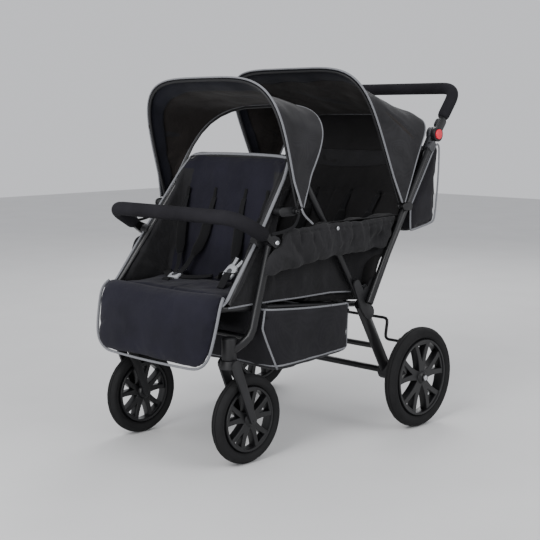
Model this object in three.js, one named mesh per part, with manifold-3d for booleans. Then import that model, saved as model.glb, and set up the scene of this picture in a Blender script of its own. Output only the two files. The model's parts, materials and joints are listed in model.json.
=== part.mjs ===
// Four-seat pushchair: two seats side by side in front, two behind them.
// Millimetres, +Z up, front towards -Y. Sizes below are measured from the front axle (y = 0)
// and the ground (z = 0). The finished model is centred on its footprint at the end.

import * as THREE from 'three';
import { mergeVertices } from 'three/addons/utils/BufferGeometryUtils.js';
import Module from 'manifold-3d';

const wasm = await Module();
wasm.setup();

// Fits
const gap = 0.35;
const runningGap = 0.5;
const overrun = 2;
const weldTolerance = 0.0001;

// Facets
const tubeSides = 10;
const wireSides = 6;
const bendSteps = 3;
const wheelFacets = 32;
const hubFacets = 14;
const pinFacets = 10;
const curveFacets = 3;
const archFacets = 14;

// Wheels
const wheelBase = 648;
const frontWheelRadius = 128;
const rearWheelRadius = 158;
const frontTrackHalf = 229;
const rearTrackHalf = 351;
const frontTyreWidth = 38;
const rearTyreWidth = 42;
const frontTyreHeight = 33;
const rearTyreHeight = 36;
const treadFlat = 12;
const tyreShoulder = 11;
const rimWall = 9;
const rimFlare = 1;
const spokeCount = 5;
const spokeThickness = 13;
const spokeRootHalf = 12;
const hubRadius = 23;
const frontHubHalf = 21;
const rearHubHalf = 24;
const hubCapRadius = 13;
const hubCapHeight = 5;
const frontCapHeight = 1;
const frontAxleRadius = 5;
const rearStubRadius = 6;

// Side planes of the frame, measured from the middle of the pushchair
const legPlane = 262;
const railPlane = 238;
const backTubePlane = 292;

// Places in the side view: [y, z]
const frontPivot = [61, 626];
const knee = [465, 400];
const railFront = [-108, 455];
const railBend = 24;
const hoopFoot = [-84, 463];
const hoopTop = [211, 853];
const hoopTopPlane = 205;
const hoopBend = 38;
const hoopFootPlane = 241;
const backTubeBend = [556, 556];
const backTubeBendRadius = 300;
const handlePivot = [793, 915];
const handleCorner = [912, 1062];
const handleBend = 55;
const legBend = [-16, 366];
const legBendRadius = 60;
const legFootInset = 8;
const casterAxisY = -67;
const legSocket = 334;
const frontCanopyPivot = [155, 706];
const rearCanopyPivot = [622, 694];
const rearLegFoot = [600, 172];
const rearCrossBar = [555, 256];
const brakePivot = [690, 250];
const brakePedal = [702, 317];
const latchPivot = [472, 446];

// Tubes
const legRadius = 12.5;
const railRadius = 9;
const crossRadius = 8;
const hoopRadius = 10;
const strutRadius = 11;
const backTubeRadius = 12;
const handleRadius = 11;
const handleFoamRadius = 19;
const bumperRadius = 9;
const bumperFoamRadius = 20.5;
const bowRadius = 4;
const bowNest = 2.8;
const frontBowNest = 1.5;
const legRestTubeRadius = 7;
const brakeRadius = 5.5;
const brakeBend = 16;
const brakeCrankInset = 52;
const brakeEndClearance = 8;
const axleRadius = 11;
const rearLegWide = 22;
const rearLegThin = 11;
const axleHousingWall = 5;

// Canopies: half width, height along the bow, lean from upright and squareness (power) of each bow
const canopyCloth = 3;
const canopySkirt = 20;
const frontSag = 46;
const rearSag = 56;
const sagShare = 0.65;
const frontBow = { half: 288, base: 300, straight: 88, height: 418, power: 4.2, lean: -15 };
const frontRearBow = { half: 277, base: 296, straight: 120, height: 352, power: 3, lean: 31 };
const rearBow = { half: 296, base: 302, straight: 101, height: 457, power: 5.5, lean: -23.5 };
const rearSeam = { half: 292, base: 302, straight: 195, height: 322, power: 5, lean: 28 };

// Pivot hardware
const pinRadius = 5;
const bossRadius = 16;
const boltHeadRadius = 8;
const boltHeadHeight = 4;
const canopyPinRadius = 4;
const canopyEyeRadius = 8;
const clampRadius = 13;
const clampPlate = 5;
const kneePinRadius = 6;
const kneePlate = 6;
const kneeReach = 78;
const kneeHalf = 20;
const kneeHeel = [489, 375];
const strutFootInset = 28;
const latchPinRadius = 3;
const latchHalf = 7;
const latchTip = [6, 26];
const latchThumb = [18, 12];

// Front swivel
const housingRadius = 21;
const housingTop = 373;
const housingBottom = 308;
const crownRadius = 24;
const crownTop = 307;
const crownBottom = 284;
const forkArmInset = 4;
const forkArmThickness = 8;
const forkArmHalf = 15;
const forkTipHalf = 12;

// Handle joints
const jointRadius = 24;
const jointHalfWidth = 16;
const jointNeck = 37;
const jointNeckHalf = 13;
const jointNeckReach = 14;
const handleFoamInset = 30;
const buttonRadius = 16;
const buttonHeight = 8.5;
const buttonProud = 4;
const buttonPocket = 9;

// Leg rest
const legRestTop = 16;
const legRestLength = 152;
const legRestHalfTop = 252;
const legRestHalfBottom = 226;
const legRestThickness = 20;
const legRestLean = 14;
const legRestFrameHalf = 200;
const legRestFrameLength = 130;
const legRestEyeRadius = 14;
const legRestEyeWidth = 24;
const legRestBend = 12;

// Bumper bar
const bumperHalf = 264;
const bumperFront = [-72, 700];
const bumperEndPlane = 282;
const bumperEndThickness = 14;
const bumperBendRadius = 62;
const bumperGripStart = 30;
const bumperTravel = 70;

// Soft goods
const frontSeatHalf = 228;
const frontSeatBack = 100;
const frontSeatFront = -91;
const frontSeatTop = 484;
const frontBackrestTop = [196, 838];
const frontBackrestFoot = [116, 484];
const frontBackrestHalfTop = 186.3;
const frontBackrestHalfFoot = 219;
const frontPadThickness = 26;
const wingThickness = 10;
const wingTopDrop = 20;
const wingFrontInset = 6;
const wingFootInset = 10;
const wingBackInset = 2;
const rearSeatFront = 236;
const rearSeatBack = 484;
const rearSeatHalf = 246;
const rearSeatThickness = 34;
const rearBackrestHalf = 280.2;
const rearBackrestFootZ = 492;
const rearBackrestTopZ = 856;
const rearPadThickness = 26;
const padCrown = 6;
const padPinch = 7;
const channelDepth = 3;
const padRounding = 0.45;
const sidePanelThickness = 10;
const sidePanelFront = [50, 651];
const sidePanelShoulder = [221, 664];
const sidePanelHem = [396, 662];
const sidePanelTopZ = 664;
const sidePanelTailZ = 578;
const sidePanelSeam = [461, 520];
const sidePanelBelly = [369, 464];
const sidePanelToe = [18, 461];
const bagHalf = 296;
const bagFoot = [664, 616];
const bagHeel = [795, 633];
const bagShoulder = [812, 882];
const bagTopZ = 886;
const bagNotchZ = 690;
const basketWall = 3;
const basketHalf = 280;
const basketChest = [11, 385];
const basketToe = [77, 259];
const basketHeel = [388, 279];
const basketFrontTopY = 23;
const basketRearTopY = 402;

// Colours
const tubeBlack = { color: 0x17181a, roughness: 0.45, metalness: 0.6 };
const plasticBlack = { color: 0x141416, roughness: 0.6, metalness: 0 };
const rubberBlack = { color: 0x1b1b1c, roughness: 0.85, metalness: 0 };
const foamBlack = { color: 0x1c1c1f, roughness: 0.9, metalness: 0 };
const clothCharcoal = { color: 0x222226, roughness: 0.9, metalness: 0 };
const clothNavy = { color: 0x1d1e2b, roughness: 0.9, metalness: 0 };
const plasticRed = { color: 0xc4122e, roughness: 0.45, metalness: 0 };
const plasticGrey = { color: 0x6a6c70, roughness: 0.5, metalness: 0 };
const steelBright = { color: 0xb9bcc0, roughness: 0.3, metalness: 1 };

const sides = { left: -1, right: 1 };
const degree = Math.PI / 180;
const quarterTurn = Math.PI / 2;
const fullTurn = 2 * Math.PI;

// Solid helpers

function toSolid(geometry) {
  const bare = geometry.clone();
  bare.deleteAttribute('normal');
  bare.deleteAttribute('uv');
  const welded = mergeVertices(bare, weldTolerance);
  const vertProperties = welded.getAttribute('position').array;
  const triVerts = new Uint32Array(welded.index.array);
  return new wasm.Manifold(new wasm.Mesh({ numProp: 3, vertProperties, triVerts }));
}

function toGeometry(solid) {
  const mesh = solid.getMesh();
  const geometry = new THREE.BufferGeometry();
  const places = new Float32Array(mesh.vertProperties);
  geometry.setAttribute('position', new THREE.BufferAttribute(places, mesh.numProp));
  geometry.setIndex(new THREE.BufferAttribute(new Uint32Array(mesh.triVerts), 1));
  geometry.computeVertexNormals();
  return geometry;
}

function join(...geometries) {
  const solids = geometries.map(toSolid);
  return toGeometry(solids.reduce((sum, solid) => sum.add(solid)));
}

function cut(geometry, ...cutters) {
  const start = toSolid(geometry);
  return toGeometry(cutters.map(toSolid).reduce((rest, cutter) => rest.subtract(cutter), start));
}

// Shape helpers

function at(plane, [y, z]) {
  return new THREE.Vector3(plane, y, z);
}

function along([fromY, fromZ], [toY, toZ], length) {
  const reach = Math.hypot(toY - fromY, toZ - fromZ);
  const share = length / reach;
  return [fromY + (toY - fromY) * share, fromZ + (toZ - fromZ) * share];
}

function ovalSection(halfX, halfY, count) {
  const points = [];
  for (let i = 0; i < count; i += 1) {
    const angle = (fullTurn * (i + 0.5)) / count;
    points.push(new THREE.Vector2(halfX * Math.cos(angle), halfY * Math.sin(angle)));
  }
  return new THREE.Shape(points);
}

class StationPath extends THREE.Curve {
  constructor(stations) {
    super();
    this.stations = stations;
  }

  getPoint(t) {
    const place = t * (this.stations.length - 1);
    const first = Math.min(Math.floor(place), this.stations.length - 2);
    return this.stations[first].clone().lerp(this.stations[first + 1], place - first);
  }

  getPointAt(t) {
    return this.getPoint(t);
  }

  getTangentAt(t) {
    const last = this.stations.length - 1;
    const index = Math.round(t * last);
    const here = this.stations[index];
    const into = here.clone().sub(this.stations[Math.max(index - 1, 0)]).normalize();
    const out = this.stations[Math.min(index + 1, last)].clone().sub(here).normalize();
    return into.add(out).normalize();
  }
}

function bend(corners, radius) {
  const stations = [corners[0]];
  for (let i = 1; i < corners.length - 1; i += 1) {
    const into = corners[i].clone().sub(corners[i - 1]).normalize();
    const out = corners[i + 1].clone().sub(corners[i]).normalize();
    const turn = into.angleTo(out);
    const reach = radius * Math.tan(turn / 2);
    const start = corners[i].clone().addScaledVector(into, -reach);
    const end = corners[i].clone().addScaledVector(out, reach);
    const arc = new THREE.QuadraticBezierCurve3(start, corners[i], end);
    stations.push(...arc.getPoints(Math.max(2, Math.ceil((bendSteps * turn) / quarterTurn))));
  }
  stations.push(corners[corners.length - 1]);
  return stations;
}

function sweep(stations, section) {
  return new THREE.ExtrudeGeometry(section, {
    steps: stations.length - 1,
    extrudePath: new StationPath(stations),
    bevelEnabled: false,
  });
}

function tube(stations, radius, count = tubeSides) {
  return sweep(stations, ovalSection(radius, radius, count));
}

// A round bar along X between two planes
function pin(place, radius, fromPlane, toPlane) {
  const length = Math.abs(toPlane - fromPlane);
  const count = radius > hubCapRadius ? hubFacets : pinFacets;
  const bar = new THREE.CylinderGeometry(radius, radius, length, count);
  bar.rotateZ(-quarterTurn);
  bar.translate((fromPlane + toPlane) / 2, place[0], place[1]);
  return bar;
}

// A flat shape drawn in the side view and given a thickness along X
function plate(shape, fromPlane, toPlane) {
  const low = Math.min(fromPlane, toPlane);
  const depth = Math.abs(toPlane - fromPlane);
  const solid = new THREE.ExtrudeGeometry(shape, { depth, bevelEnabled: false, curveSegments: curveFacets });
  const axes = new THREE.Matrix4().makeBasis(
    new THREE.Vector3(0, 1, 0),
    new THREE.Vector3(0, 0, 1),
    new THREE.Vector3(1, 0, 0),
  );
  solid.applyMatrix4(axes);
  solid.translate(low, 0, 0);
  return solid;
}

function sideShape(points) {
  return new THREE.Shape(points.map(([y, z]) => new THREE.Vector2(y, z)));
}

// A link with round ends of two sizes, drawn in the side view
function linkShape(from, to, fromHalf, toHalf) {
  const heading = Math.atan2(to[1] - from[1], to[0] - from[0]);
  const points = [];
  const steps = 2 * curveFacets;
  for (let i = 0; i <= steps; i += 1) {
    const angle = heading + quarterTurn + (Math.PI * i) / steps;
    points.push([from[0] + fromHalf * Math.cos(angle), from[1] + fromHalf * Math.sin(angle)]);
  }
  for (let i = 0; i <= steps; i += 1) {
    const angle = heading - quarterTurn + (Math.PI * i) / steps;
    points.push([to[0] + toHalf * Math.cos(angle), to[1] + toHalf * Math.sin(angle)]);
  }
  return sideShape(points);
}

function link(from, to, fromHalf, toHalf, fromPlane, toPlane) {
  return plate(linkShape(from, to, fromHalf, toHalf), fromPlane, toPlane);
}

// Closed sheet between an outer and an inner grid of points, both [row][column]
function sheet(outer, inner) {
  const rows = outer.length;
  const columns = outer[0].length;
  const places = [...outer.flat(), ...inner.flat()].flatMap((point) => [point.x, point.y, point.z]);
  const index = (layer, row, column) => layer * rows * columns + row * columns + column;
  const faces = [];
  const quad = (a, b, c, d) => faces.push(a, c, b, a, d, c);
  for (let r = 0; r < rows - 1; r += 1) {
    for (let c = 0; c < columns - 1; c += 1) {
      quad(index(0, r, c), index(0, r, c + 1), index(0, r + 1, c + 1), index(0, r + 1, c));
      quad(index(1, r, c), index(1, r + 1, c), index(1, r + 1, c + 1), index(1, r, c + 1));
    }
  }
  for (let c = 0; c < columns - 1; c += 1) {
    quad(index(0, 0, c), index(1, 0, c), index(1, 0, c + 1), index(0, 0, c + 1));
    quad(index(0, rows - 1, c + 1), index(1, rows - 1, c + 1), index(1, rows - 1, c), index(0, rows - 1, c));
  }
  for (let r = 0; r < rows - 1; r += 1) {
    quad(index(0, r + 1, 0), index(1, r + 1, 0), index(1, r, 0), index(0, r, 0));
    const last = columns - 1;
    quad(index(0, r, last), index(1, r, last), index(1, r + 1, last), index(0, r + 1, last));
  }
  const geometry = new THREE.BufferGeometry();
  geometry.setAttribute('position', new THREE.Float32BufferAttribute(places, 3));
  geometry.setIndex(faces);
  geometry.computeVertexNormals();
  return geometry;
}

// A padded panel: half widths at foot and top, length along local Y, crown along local Z.
// channels holds the shares of the half width where a sewn channel runs along the length.
function pad({ halfFoot, halfTop, length, thickness, crown, pinch, channels }) {
  const across = 10;
  const up = 5;
  const geometry = new THREE.BoxGeometry(2, 1, 1, across, up, 2);
  const place = geometry.getAttribute('position');
  for (let i = 0; i < place.count; i += 1) {
    const u = place.getX(i);
    const v = place.getY(i) + 0.5;
    const w = place.getZ(i) * 2;
    const edgeX = 1 - u ** 4;
    const edgeY = 1 - (2 * v - 1) ** 4;
    const half = halfFoot + (halfTop - halfFoot) * v - pinch * edgeY * (1 - w * w * 0.5);
    const sewn = channels.reduce((sum, share) => sum + Math.exp(-(((u - share) * across) ** 2)), 0);
    const rise = crown * edgeX * edgeY - channelDepth * Math.min(sewn, 1) * edgeY;
    const rounded = 1 - padRounding * Math.max(u ** 8, (2 * v - 1) ** 8);
    const height = w > 0 ? (thickness / 2) * rounded + rise : (thickness / 2) * w;
    place.setXYZ(i, u * half, v * length, height);
  }
  return geometry;
}

// Material and naming

function piece(name, geometry, look) {
  const mesh = new THREE.Mesh(geometry, new THREE.MeshStandardMaterial(look));
  mesh.name = name;
  return mesh;
}

function eachSide(make) {
  return Object.entries(sides).flatMap(([word, side]) => make(word, side));
}

// Wheels

function tyre(radius, width, height) {
  const facetRadius = radius / Math.cos(Math.PI / wheelFacets);
  const inner = radius - height;
  const half = width / 2;
  const flat = treadFlat / 2;
  const profile = [
    [inner, -half + tyreShoulder],
    [inner + tyreShoulder, -half],
    [facetRadius - tyreShoulder, -half],
    [facetRadius, -flat],
    [facetRadius, flat],
    [facetRadius - tyreShoulder, half],
    [inner + tyreShoulder, half],
    [inner, half - tyreShoulder],
    [inner, -half + tyreShoulder],
  ];
  const ring = new THREE.LatheGeometry(
    profile.map(([r, x]) => new THREE.Vector2(r, x)),
    wheelFacets,
    fullTurn / wheelFacets / 2,
  );
  ring.rotateZ(-quarterTurn);
  return ring;
}

// One forked spoke drawn with the wheel's centre at the origin, pointing up
function spokeShape(rimRadius) {
  const root = hubRadius * 0.6;
  const footHalf = rimRadius * 0.34;
  const foot = Math.sqrt(rimRadius ** 2 - footHalf ** 2);
  const waist = rimRadius * 0.5;
  const slotHalf = footHalf * 0.56;
  const slotFoot = rimRadius * 0.9;
  const slotTip = rimRadius * 0.44;
  const shape = new THREE.Shape();
  shape.moveTo(-spokeRootHalf, root);
  shape.quadraticCurveTo(-spokeRootHalf, waist, -footHalf, foot);
  shape.lineTo(0, rimRadius);
  shape.lineTo(footHalf, foot);
  shape.quadraticCurveTo(spokeRootHalf, waist, spokeRootHalf, root);
  shape.closePath();
  const slot = new THREE.Path();
  slot.moveTo(0, slotTip);
  slot.quadraticCurveTo(slotHalf * 0.3, waist * 1.2, slotHalf, slotFoot);
  slot.lineTo(-slotHalf, slotFoot);
  slot.quadraticCurveTo(-slotHalf * 0.3, waist * 1.2, 0, slotTip);
  shape.holes.push(slot);
  return shape;
}

// The cap side faces +X when outward is 1
function rim(radius, tyreHeight, tyreWidth, boreRadius, halfHub, capHeight, outward) {
  const outer = radius - tyreHeight - gap;
  const inner = outer - rimWall;
  const half = tyreWidth / 2 - tyreShoulder + gap;
  const ring = new THREE.LatheGeometry(
    [
      [inner, -half - rimFlare],
      [outer, -half],
      [outer, half],
      [inner, half + rimFlare],
      [inner, -half - rimFlare],
    ].map(([r, x]) => new THREE.Vector2(r, x)),
    wheelFacets,
    fullTurn / wheelFacets / 2,
  );
  ring.rotateZ(-quarterTurn);
  const hub = new THREE.LatheGeometry(
    [
      [0, -halfHub],
      [hubRadius * 0.8, -halfHub],
      [hubRadius, -halfHub * 0.5],
      [hubRadius, halfHub * 0.5],
      [hubCapRadius, halfHub],
      [hubCapRadius, halfHub + capHeight],
      [0, halfHub + capHeight],
    ].map(([r, x]) => new THREE.Vector2(r, x)),
    hubFacets,
  );
  hub.rotateZ(-quarterTurn * outward);
  const spokes = [];
  for (let i = 0; i < spokeCount; i += 1) {
    const spoke = plate(spokeShape(inner + rimWall / 3), -spokeThickness / 2, spokeThickness / 2);
    spoke.rotateX((fullTurn * i) / spokeCount);
    spokes.push(spoke);
  }
  const bore = pin([0, 0], boreRadius + gap, -outward * (halfHub + overrun), outward * halfHub);
  return cut(join(ring, hub, ...spokes), bore);
}

function frontWheels() {
  return eachSide((word, side) => {
    const wheel = new THREE.Group();
    wheel.position.set(side * frontTrackHalf, 0, frontWheelRadius);
    const size = [frontWheelRadius, frontTyreWidth, frontTyreHeight];
    wheel.add(piece(`front_tyre_${word}`, tyre(...size), rubberBlack));
    const bore = pin([0, 0], frontAxleRadius + gap, -rearHubHalf, rearHubHalf);
    const solid = rim(
      frontWheelRadius, frontTyreHeight, frontTyreWidth, frontAxleRadius, frontHubHalf, frontCapHeight, side,
    );
    const open = cut(solid, bore);
    wheel.add(piece(`front_rim_${word}`, open, plasticBlack));
    return wheel;
  });
}

function rearWheels() {
  return eachSide((word, side) => {
    const wheel = new THREE.Group();
    wheel.position.set(side * rearTrackHalf, wheelBase, rearWheelRadius);
    wheel.add(piece(`rear_tyre_${word}`, tyre(rearWheelRadius, rearTyreWidth, rearTyreHeight), rubberBlack));
    const open = rim(
      rearWheelRadius, rearTyreHeight, rearTyreWidth, rearStubRadius, rearHubHalf, hubCapHeight, side,
    );
    wheel.add(piece(`rear_rim_${word}`, open, plasticBlack));
    return wheel;
  });
}

// Front forks and swivel housings

function fork(side) {
  const x = side * frontTrackHalf;
  const hub = [0, frontWheelRadius];
  const crownPlace = [casterAxisY, (crownTop + crownBottom) / 2];
  const inside = frontTyreWidth / 2 + forkArmInset;
  const outside = inside + forkArmThickness;
  const crownHeight = crownTop - crownBottom;
  const crown = new THREE.CylinderGeometry(crownRadius, crownRadius * 1.15, crownHeight, hubFacets);
  crown.rotateX(quarterTurn);
  crown.translate(x, casterAxisY, crownPlace[1]);
  const shoulder = link(crownPlace, crownPlace, crownRadius / 2, crownRadius / 2, x - outside, x + outside);
  const arms = [-1, 1].map((hand) => link(
    crownPlace, hub, forkArmHalf, forkTipHalf, x + hand * inside, x + hand * outside,
  ));
  const axle = pin(hub, frontAxleRadius, x - outside - overrun, x + outside + overrun);
  return join(crown, shoulder, ...arms, axle);
}

function housing(side) {
  const profile = [
    [0, housingBottom],
    [housingRadius, housingBottom],
    [housingRadius, housingTop - housingRadius / 3],
    [housingRadius * 0.8, housingTop - housingRadius / 10],
    [0, housingTop],
  ];
  const body = new THREE.LatheGeometry(profile.map(([r, z]) => new THREE.Vector2(r, z)), hubFacets);
  body.rotateX(quarterTurn);
  body.translate(side * frontTrackHalf, casterAxisY, 0);
  return body;
}

function inflatedHousing(side) {
  const height = housingTop - housingBottom + 2 * gap;
  const body = new THREE.CylinderGeometry(housingRadius + gap, housingRadius + gap, height, hubFacets);
  body.rotateX(quarterTurn);
  body.translate(side * frontTrackHalf, casterAxisY, (housingTop + housingBottom) / 2);
  return body;
}

// Front leg frame: two bent legs, one cross tube and the pivot bosses

function frontLegFrame() {
  const legs = eachSide((word, side) => {
    const foot = new THREE.Vector3(side * (frontTrackHalf + legFootInset), casterAxisY, legSocket);
    const corner = at(side * legPlane, legBend);
    return tube(bend([foot, corner, at(side * legPlane, frontPivot)], legBendRadius), legRadius);
  });
  const bosses = eachSide((word, side) => pin(
    frontPivot, bossRadius, side * (legPlane - legRadius), side * (legPlane + legRadius),
  ));
  const cross = tube([at(-legPlane, legBend), at(legPlane, legBend)], crossRadius);
  const holes = eachSide((word, side) => [
    pin(frontPivot, pinRadius + gap, side * railPlane, side * backTubePlane),
    inflatedHousing(side),
  ]);
  return cut(join(...legs, ...bosses, cross), ...holes);
}

// Seat frame: rails, front cross bar and the cross tubes under the seat edges

function railZ(y) {
  const share = (y - railFront[0]) / (knee[0] - railFront[0]);
  return railFront[1] + (knee[1] - railFront[1]) * share;
}

function seatFrame() {
  const loop = tube(bend([
    at(-railPlane, knee), at(-railPlane, railFront), at(railPlane, railFront), at(railPlane, knee),
  ], railBend), railRadius);
  const crossPlaces = [frontSeatBack, rearSeatFront - crossRadius, knee[0] - crossRadius];
  const cross = crossPlaces.map((y) => tube(
    [at(-railPlane, [y, railZ(y)]), at(railPlane, [y, railZ(y)])], crossRadius,
  ));
  return join(loop, ...cross);
}

// Front seat hoop, its pivot brackets and bolts

function hoopPath() {
  return bend([
    at(-hoopFootPlane, hoopFoot), at(-hoopTopPlane, hoopTop),
    at(hoopTopPlane, hoopTop), at(hoopFootPlane, hoopFoot),
  ], hoopBend);
}

function frontHoop() {
  const rail = tube(bend([
    at(-railPlane, knee), at(-railPlane, railFront), at(railPlane, railFront), at(railPlane, knee),
  ], railBend), railRadius + gap);
  return cut(tube(hoopPath(), hoopRadius), rail);
}

function hoopPlaneAt(z) {
  const share = (z - hoopFoot[1]) / (hoopTop[1] - hoopFoot[1]);
  return hoopFootPlane + (hoopTopPlane - hoopFootPlane) * share;
}

function hoopYAt(z) {
  const share = (z - hoopFoot[1]) / (hoopTop[1] - hoopFoot[1]);
  return hoopFoot[0] + (hoopTop[0] - hoopFoot[0]) * share;
}

function pivotBracket(side) {
  const inner = side * (hoopPlaneAt(frontPivot[1]) - hoopRadius / 2);
  const outer = side * (legPlane - legRadius - runningGap);
  const grip = [hoopYAt(frontPivot[1]), frontPivot[1]];
  const body = link(frontPivot, grip, bossRadius, hoopRadius * 1.7, inner, outer);
  const hole = pin(frontPivot, pinRadius + gap, inner, side * backTubePlane);
  return cut(body, tube(hoopPath(), hoopRadius + gap), hole);
}

function pivotBolt(side) {
  const headPlane = bumperEndPlane + bumperEndThickness / 2 + gap;
  const shankPlane = hoopPlaneAt(frontPivot[1]) + hoopRadius;
  const shank = pin(frontPivot, pinRadius, side * shankPlane, side * headPlane);
  const head = new THREE.CylinderGeometry(boltHeadRadius * 0.7, boltHeadRadius, boltHeadHeight, hubFacets);
  head.rotateZ(-quarterTurn * side);
  head.translate(side * (headPlane + boltHeadHeight / 2), frontPivot[0], frontPivot[1]);
  return join(shank, head);
}

// Struts, back tubes and knee brackets

const strutReach = Math.hypot(hoopTop[0] - knee[0], hoopTop[1] - knee[1]);
const strutTop = along(knee, hoopTop, strutReach - hoopRadius / 2);

function strut(side) {
  const foot = along(knee, strutTop, strutFootInset);
  const topPlane = side * (hoopTopPlane + hoopRadius);
  const body = tube([at(side * legPlane, foot), at(topPlane, strutTop)], strutRadius);
  return cut(body, tube(hoopPath(), hoopRadius + gap));
}

function backTubePath(side) {
  const foot = along(knee, backTubeBend, bossRadius / 2);
  const end = along(handlePivot, backTubeBend, jointNeck);
  return bend([
    at(side * backTubePlane, foot), at(side * backTubePlane, backTubeBend), at(side * backTubePlane, end),
  ], backTubeBendRadius);
}

function kneeBracket(side) {
  const inner = side * (legPlane + strutRadius + gap);
  const outer = side * (backTubePlane - backTubeRadius - gap);
  const up = link(knee, along(knee, backTubeBend, kneeReach), kneeHalf, kneeHalf * 0.75, inner, outer);
  const forward = link(knee, along(knee, strutTop, kneeReach), kneeHalf, kneeHalf * 0.75, inner, outer);
  const latchBoss = link(knee, latchPivot, kneeHalf, kneeHalf * 0.6, inner, outer);
  const heel = link(knee, kneeHeel, kneeHalf, kneeHalf * 1.1, inner, outer);
  const axis = pin(knee, kneePinRadius, side * (railPlane + railRadius + gap), outer);
  const latchAxis = pin(latchPivot, latchPinRadius, side * (legPlane - latchHalf), outer);
  return join(up, forward, latchBoss, heel, axis, latchAxis);
}

function frameLatch(side) {
  const inner = side * (legPlane - latchHalf);
  const outer = side * (legPlane + latchHalf);
  const tip = [knee[0] + latchTip[0], knee[1] + latchTip[1]];
  const thumb = [latchPivot[0] + latchThumb[0], latchPivot[1] + latchThumb[1]];
  const arm = link(latchPivot, tip, latchHalf, latchHalf * 0.8, inner, outer);
  const lever = link(latchPivot, thumb, latchHalf, latchHalf * 0.5, inner, outer);
  return cut(join(arm, lever), pin(latchPivot, latchPinRadius + gap, side * railPlane, side * backTubePlane));
}

// Rear legs, axle, axle housings and brake bar

function rearLegFrame() {
  const legs = eachSide((word, side) => sweep(
    [at(side * legPlane, knee), at(side * legPlane, rearLegFoot)],
    ovalSection(rearLegThin, rearLegWide, tubeSides),
  ));
  const eyes = eachSide((word, side) => pin(
    knee, bossRadius, side * (legPlane - rearLegThin), side * (legPlane + rearLegThin),
  ));
  const cross = tube([at(-legPlane, rearCrossBar), at(legPlane, rearCrossBar)], railRadius);
  const holes = eachSide((word, side) => pin(
    knee, kneePinRadius + gap, side * railPlane, side * backTubePlane,
  ));
  const trimmed = cut(join(...legs, ...eyes), ...kneeShoulders());
  return cut(join(trimmed, cross), ...holes);
}

// What lies above the pivot of the rear leg, so that the oval tube ends in a round eye
function kneeShoulders() {
  return eachSide((word, side) => {
    const width = rearLegThin * 2 + overrun * 2;
    const block = new THREE.BoxGeometry(width, rearLegWide * 4, rearLegWide * 2);
    block.translate(0, 0, rearLegWide + bossRadius * 0.5);
    const lean = Math.atan2(rearLegFoot[0] - knee[0], knee[1] - rearLegFoot[1]);
    block.rotateX(lean);
    block.translate(side * legPlane, knee[0], knee[1]);
    const eye = pin(knee, bossRadius, side * (legPlane - width), side * (legPlane + width));
    return cut(block, eye);
  });
}

const axlePlace = [wheelBase, rearWheelRadius];

function rearAxle() {
  const inner = rearTrackHalf - rearHubHalf - runningGap;
  const bar = pin(axlePlace, axleRadius, -inner, inner);
  const reach = rearTrackHalf + rearHubHalf - overrun;
  return join(bar, pin(axlePlace, rearStubRadius, -reach, reach));
}

function axleHousing(side) {
  const inner = side * (legPlane - rearLegThin - axleHousingWall);
  const outer = side * (legPlane + rearLegThin + axleHousingWall);
  const body = link(rearLegFoot, axlePlace, rearLegWide * 1.2, axleRadius * 2, inner, outer);
  const ear = link(axlePlace, brakePivot, axleRadius * 1.5, brakeRadius * 2.2, inner, outer);
  const legLength = Math.hypot(rearLegFoot[0] - knee[0], rearLegFoot[1] - knee[1]);
  const leg = sweep(
    [at(side * legPlane, knee), at(side * legPlane, along(knee, rearLegFoot, legLength + gap))],
    ovalSection(rearLegThin + gap, rearLegWide + gap, tubeSides),
  );
  const axle = pin(axlePlace, axleRadius + gap, side * railPlane, side * rearTrackHalf);
  const rod = pin(brakePivot, brakeRadius + gap, side * railPlane, side * rearTrackHalf);
  return cut(join(body, ear), leg, axle, rod);
}

function brakeBar() {
  const end = rearTrackHalf - rearTyreWidth / 2 - brakeEndClearance;
  const crank = railPlane - brakeCrankInset;
  return tube(bend([
    at(-end, brakePivot), at(-crank, brakePivot), at(-crank, brakePedal),
    at(crank, brakePedal), at(crank, brakePivot), at(end, brakePivot),
  ], brakeBend), brakeRadius, wireSides);
}

// Handle

function handlePath() {
  const start = along(handlePivot, handleCorner, jointNeck);
  return bend([
    at(-backTubePlane, start), at(-backTubePlane, handleCorner),
    at(backTubePlane, handleCorner), at(backTubePlane, start),
  ], handleBend);
}

function handleBar() {
  const hubs = eachSide((word, side) => {
    const inner = side * (backTubePlane + runningGap / 2);
    const outer = side * (backTubePlane + jointHalfWidth);
    const disc = pin(handlePivot, jointRadius, inner, outer);
    const neckFrom = along(handlePivot, handleCorner, jointRadius + jointNeckHalf);
    const neckTo = along(handlePivot, handleCorner, jointNeck + jointNeckReach);
    const neck = link(neckFrom, neckTo, jointNeckHalf * 0.8, jointNeckHalf * 0.8,
      side * (backTubePlane - jointNeckHalf), side * (backTubePlane + jointNeckHalf));
    const bridgeOuter = side * (backTubePlane + jointNeckHalf);
    const bridge = link(handlePivot, neckTo, jointNeckHalf, jointNeckHalf, inner, bridgeOuter);
    return join(disc, neck, bridge);
  });
  const pockets = eachSide((word, side) => pin(
    handlePivot, buttonRadius + gap,
    side * (backTubePlane + jointHalfWidth - buttonPocket), side * (backTubePlane + jointHalfWidth + overrun),
  ));
  return cut(join(tube(handlePath(), handleRadius), ...hubs), ...pockets);
}

function handleFoam() {
  const start = along(handlePivot, handleCorner, jointNeck + handleFoamInset);
  const path = bend([
    at(-backTubePlane, start), at(-backTubePlane, handleCorner),
    at(backTubePlane, handleCorner), at(backTubePlane, start),
  ], handleBend);
  return cut(tube(path, handleFoamRadius), tube(handlePath(), handleRadius + gap));
}

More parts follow.
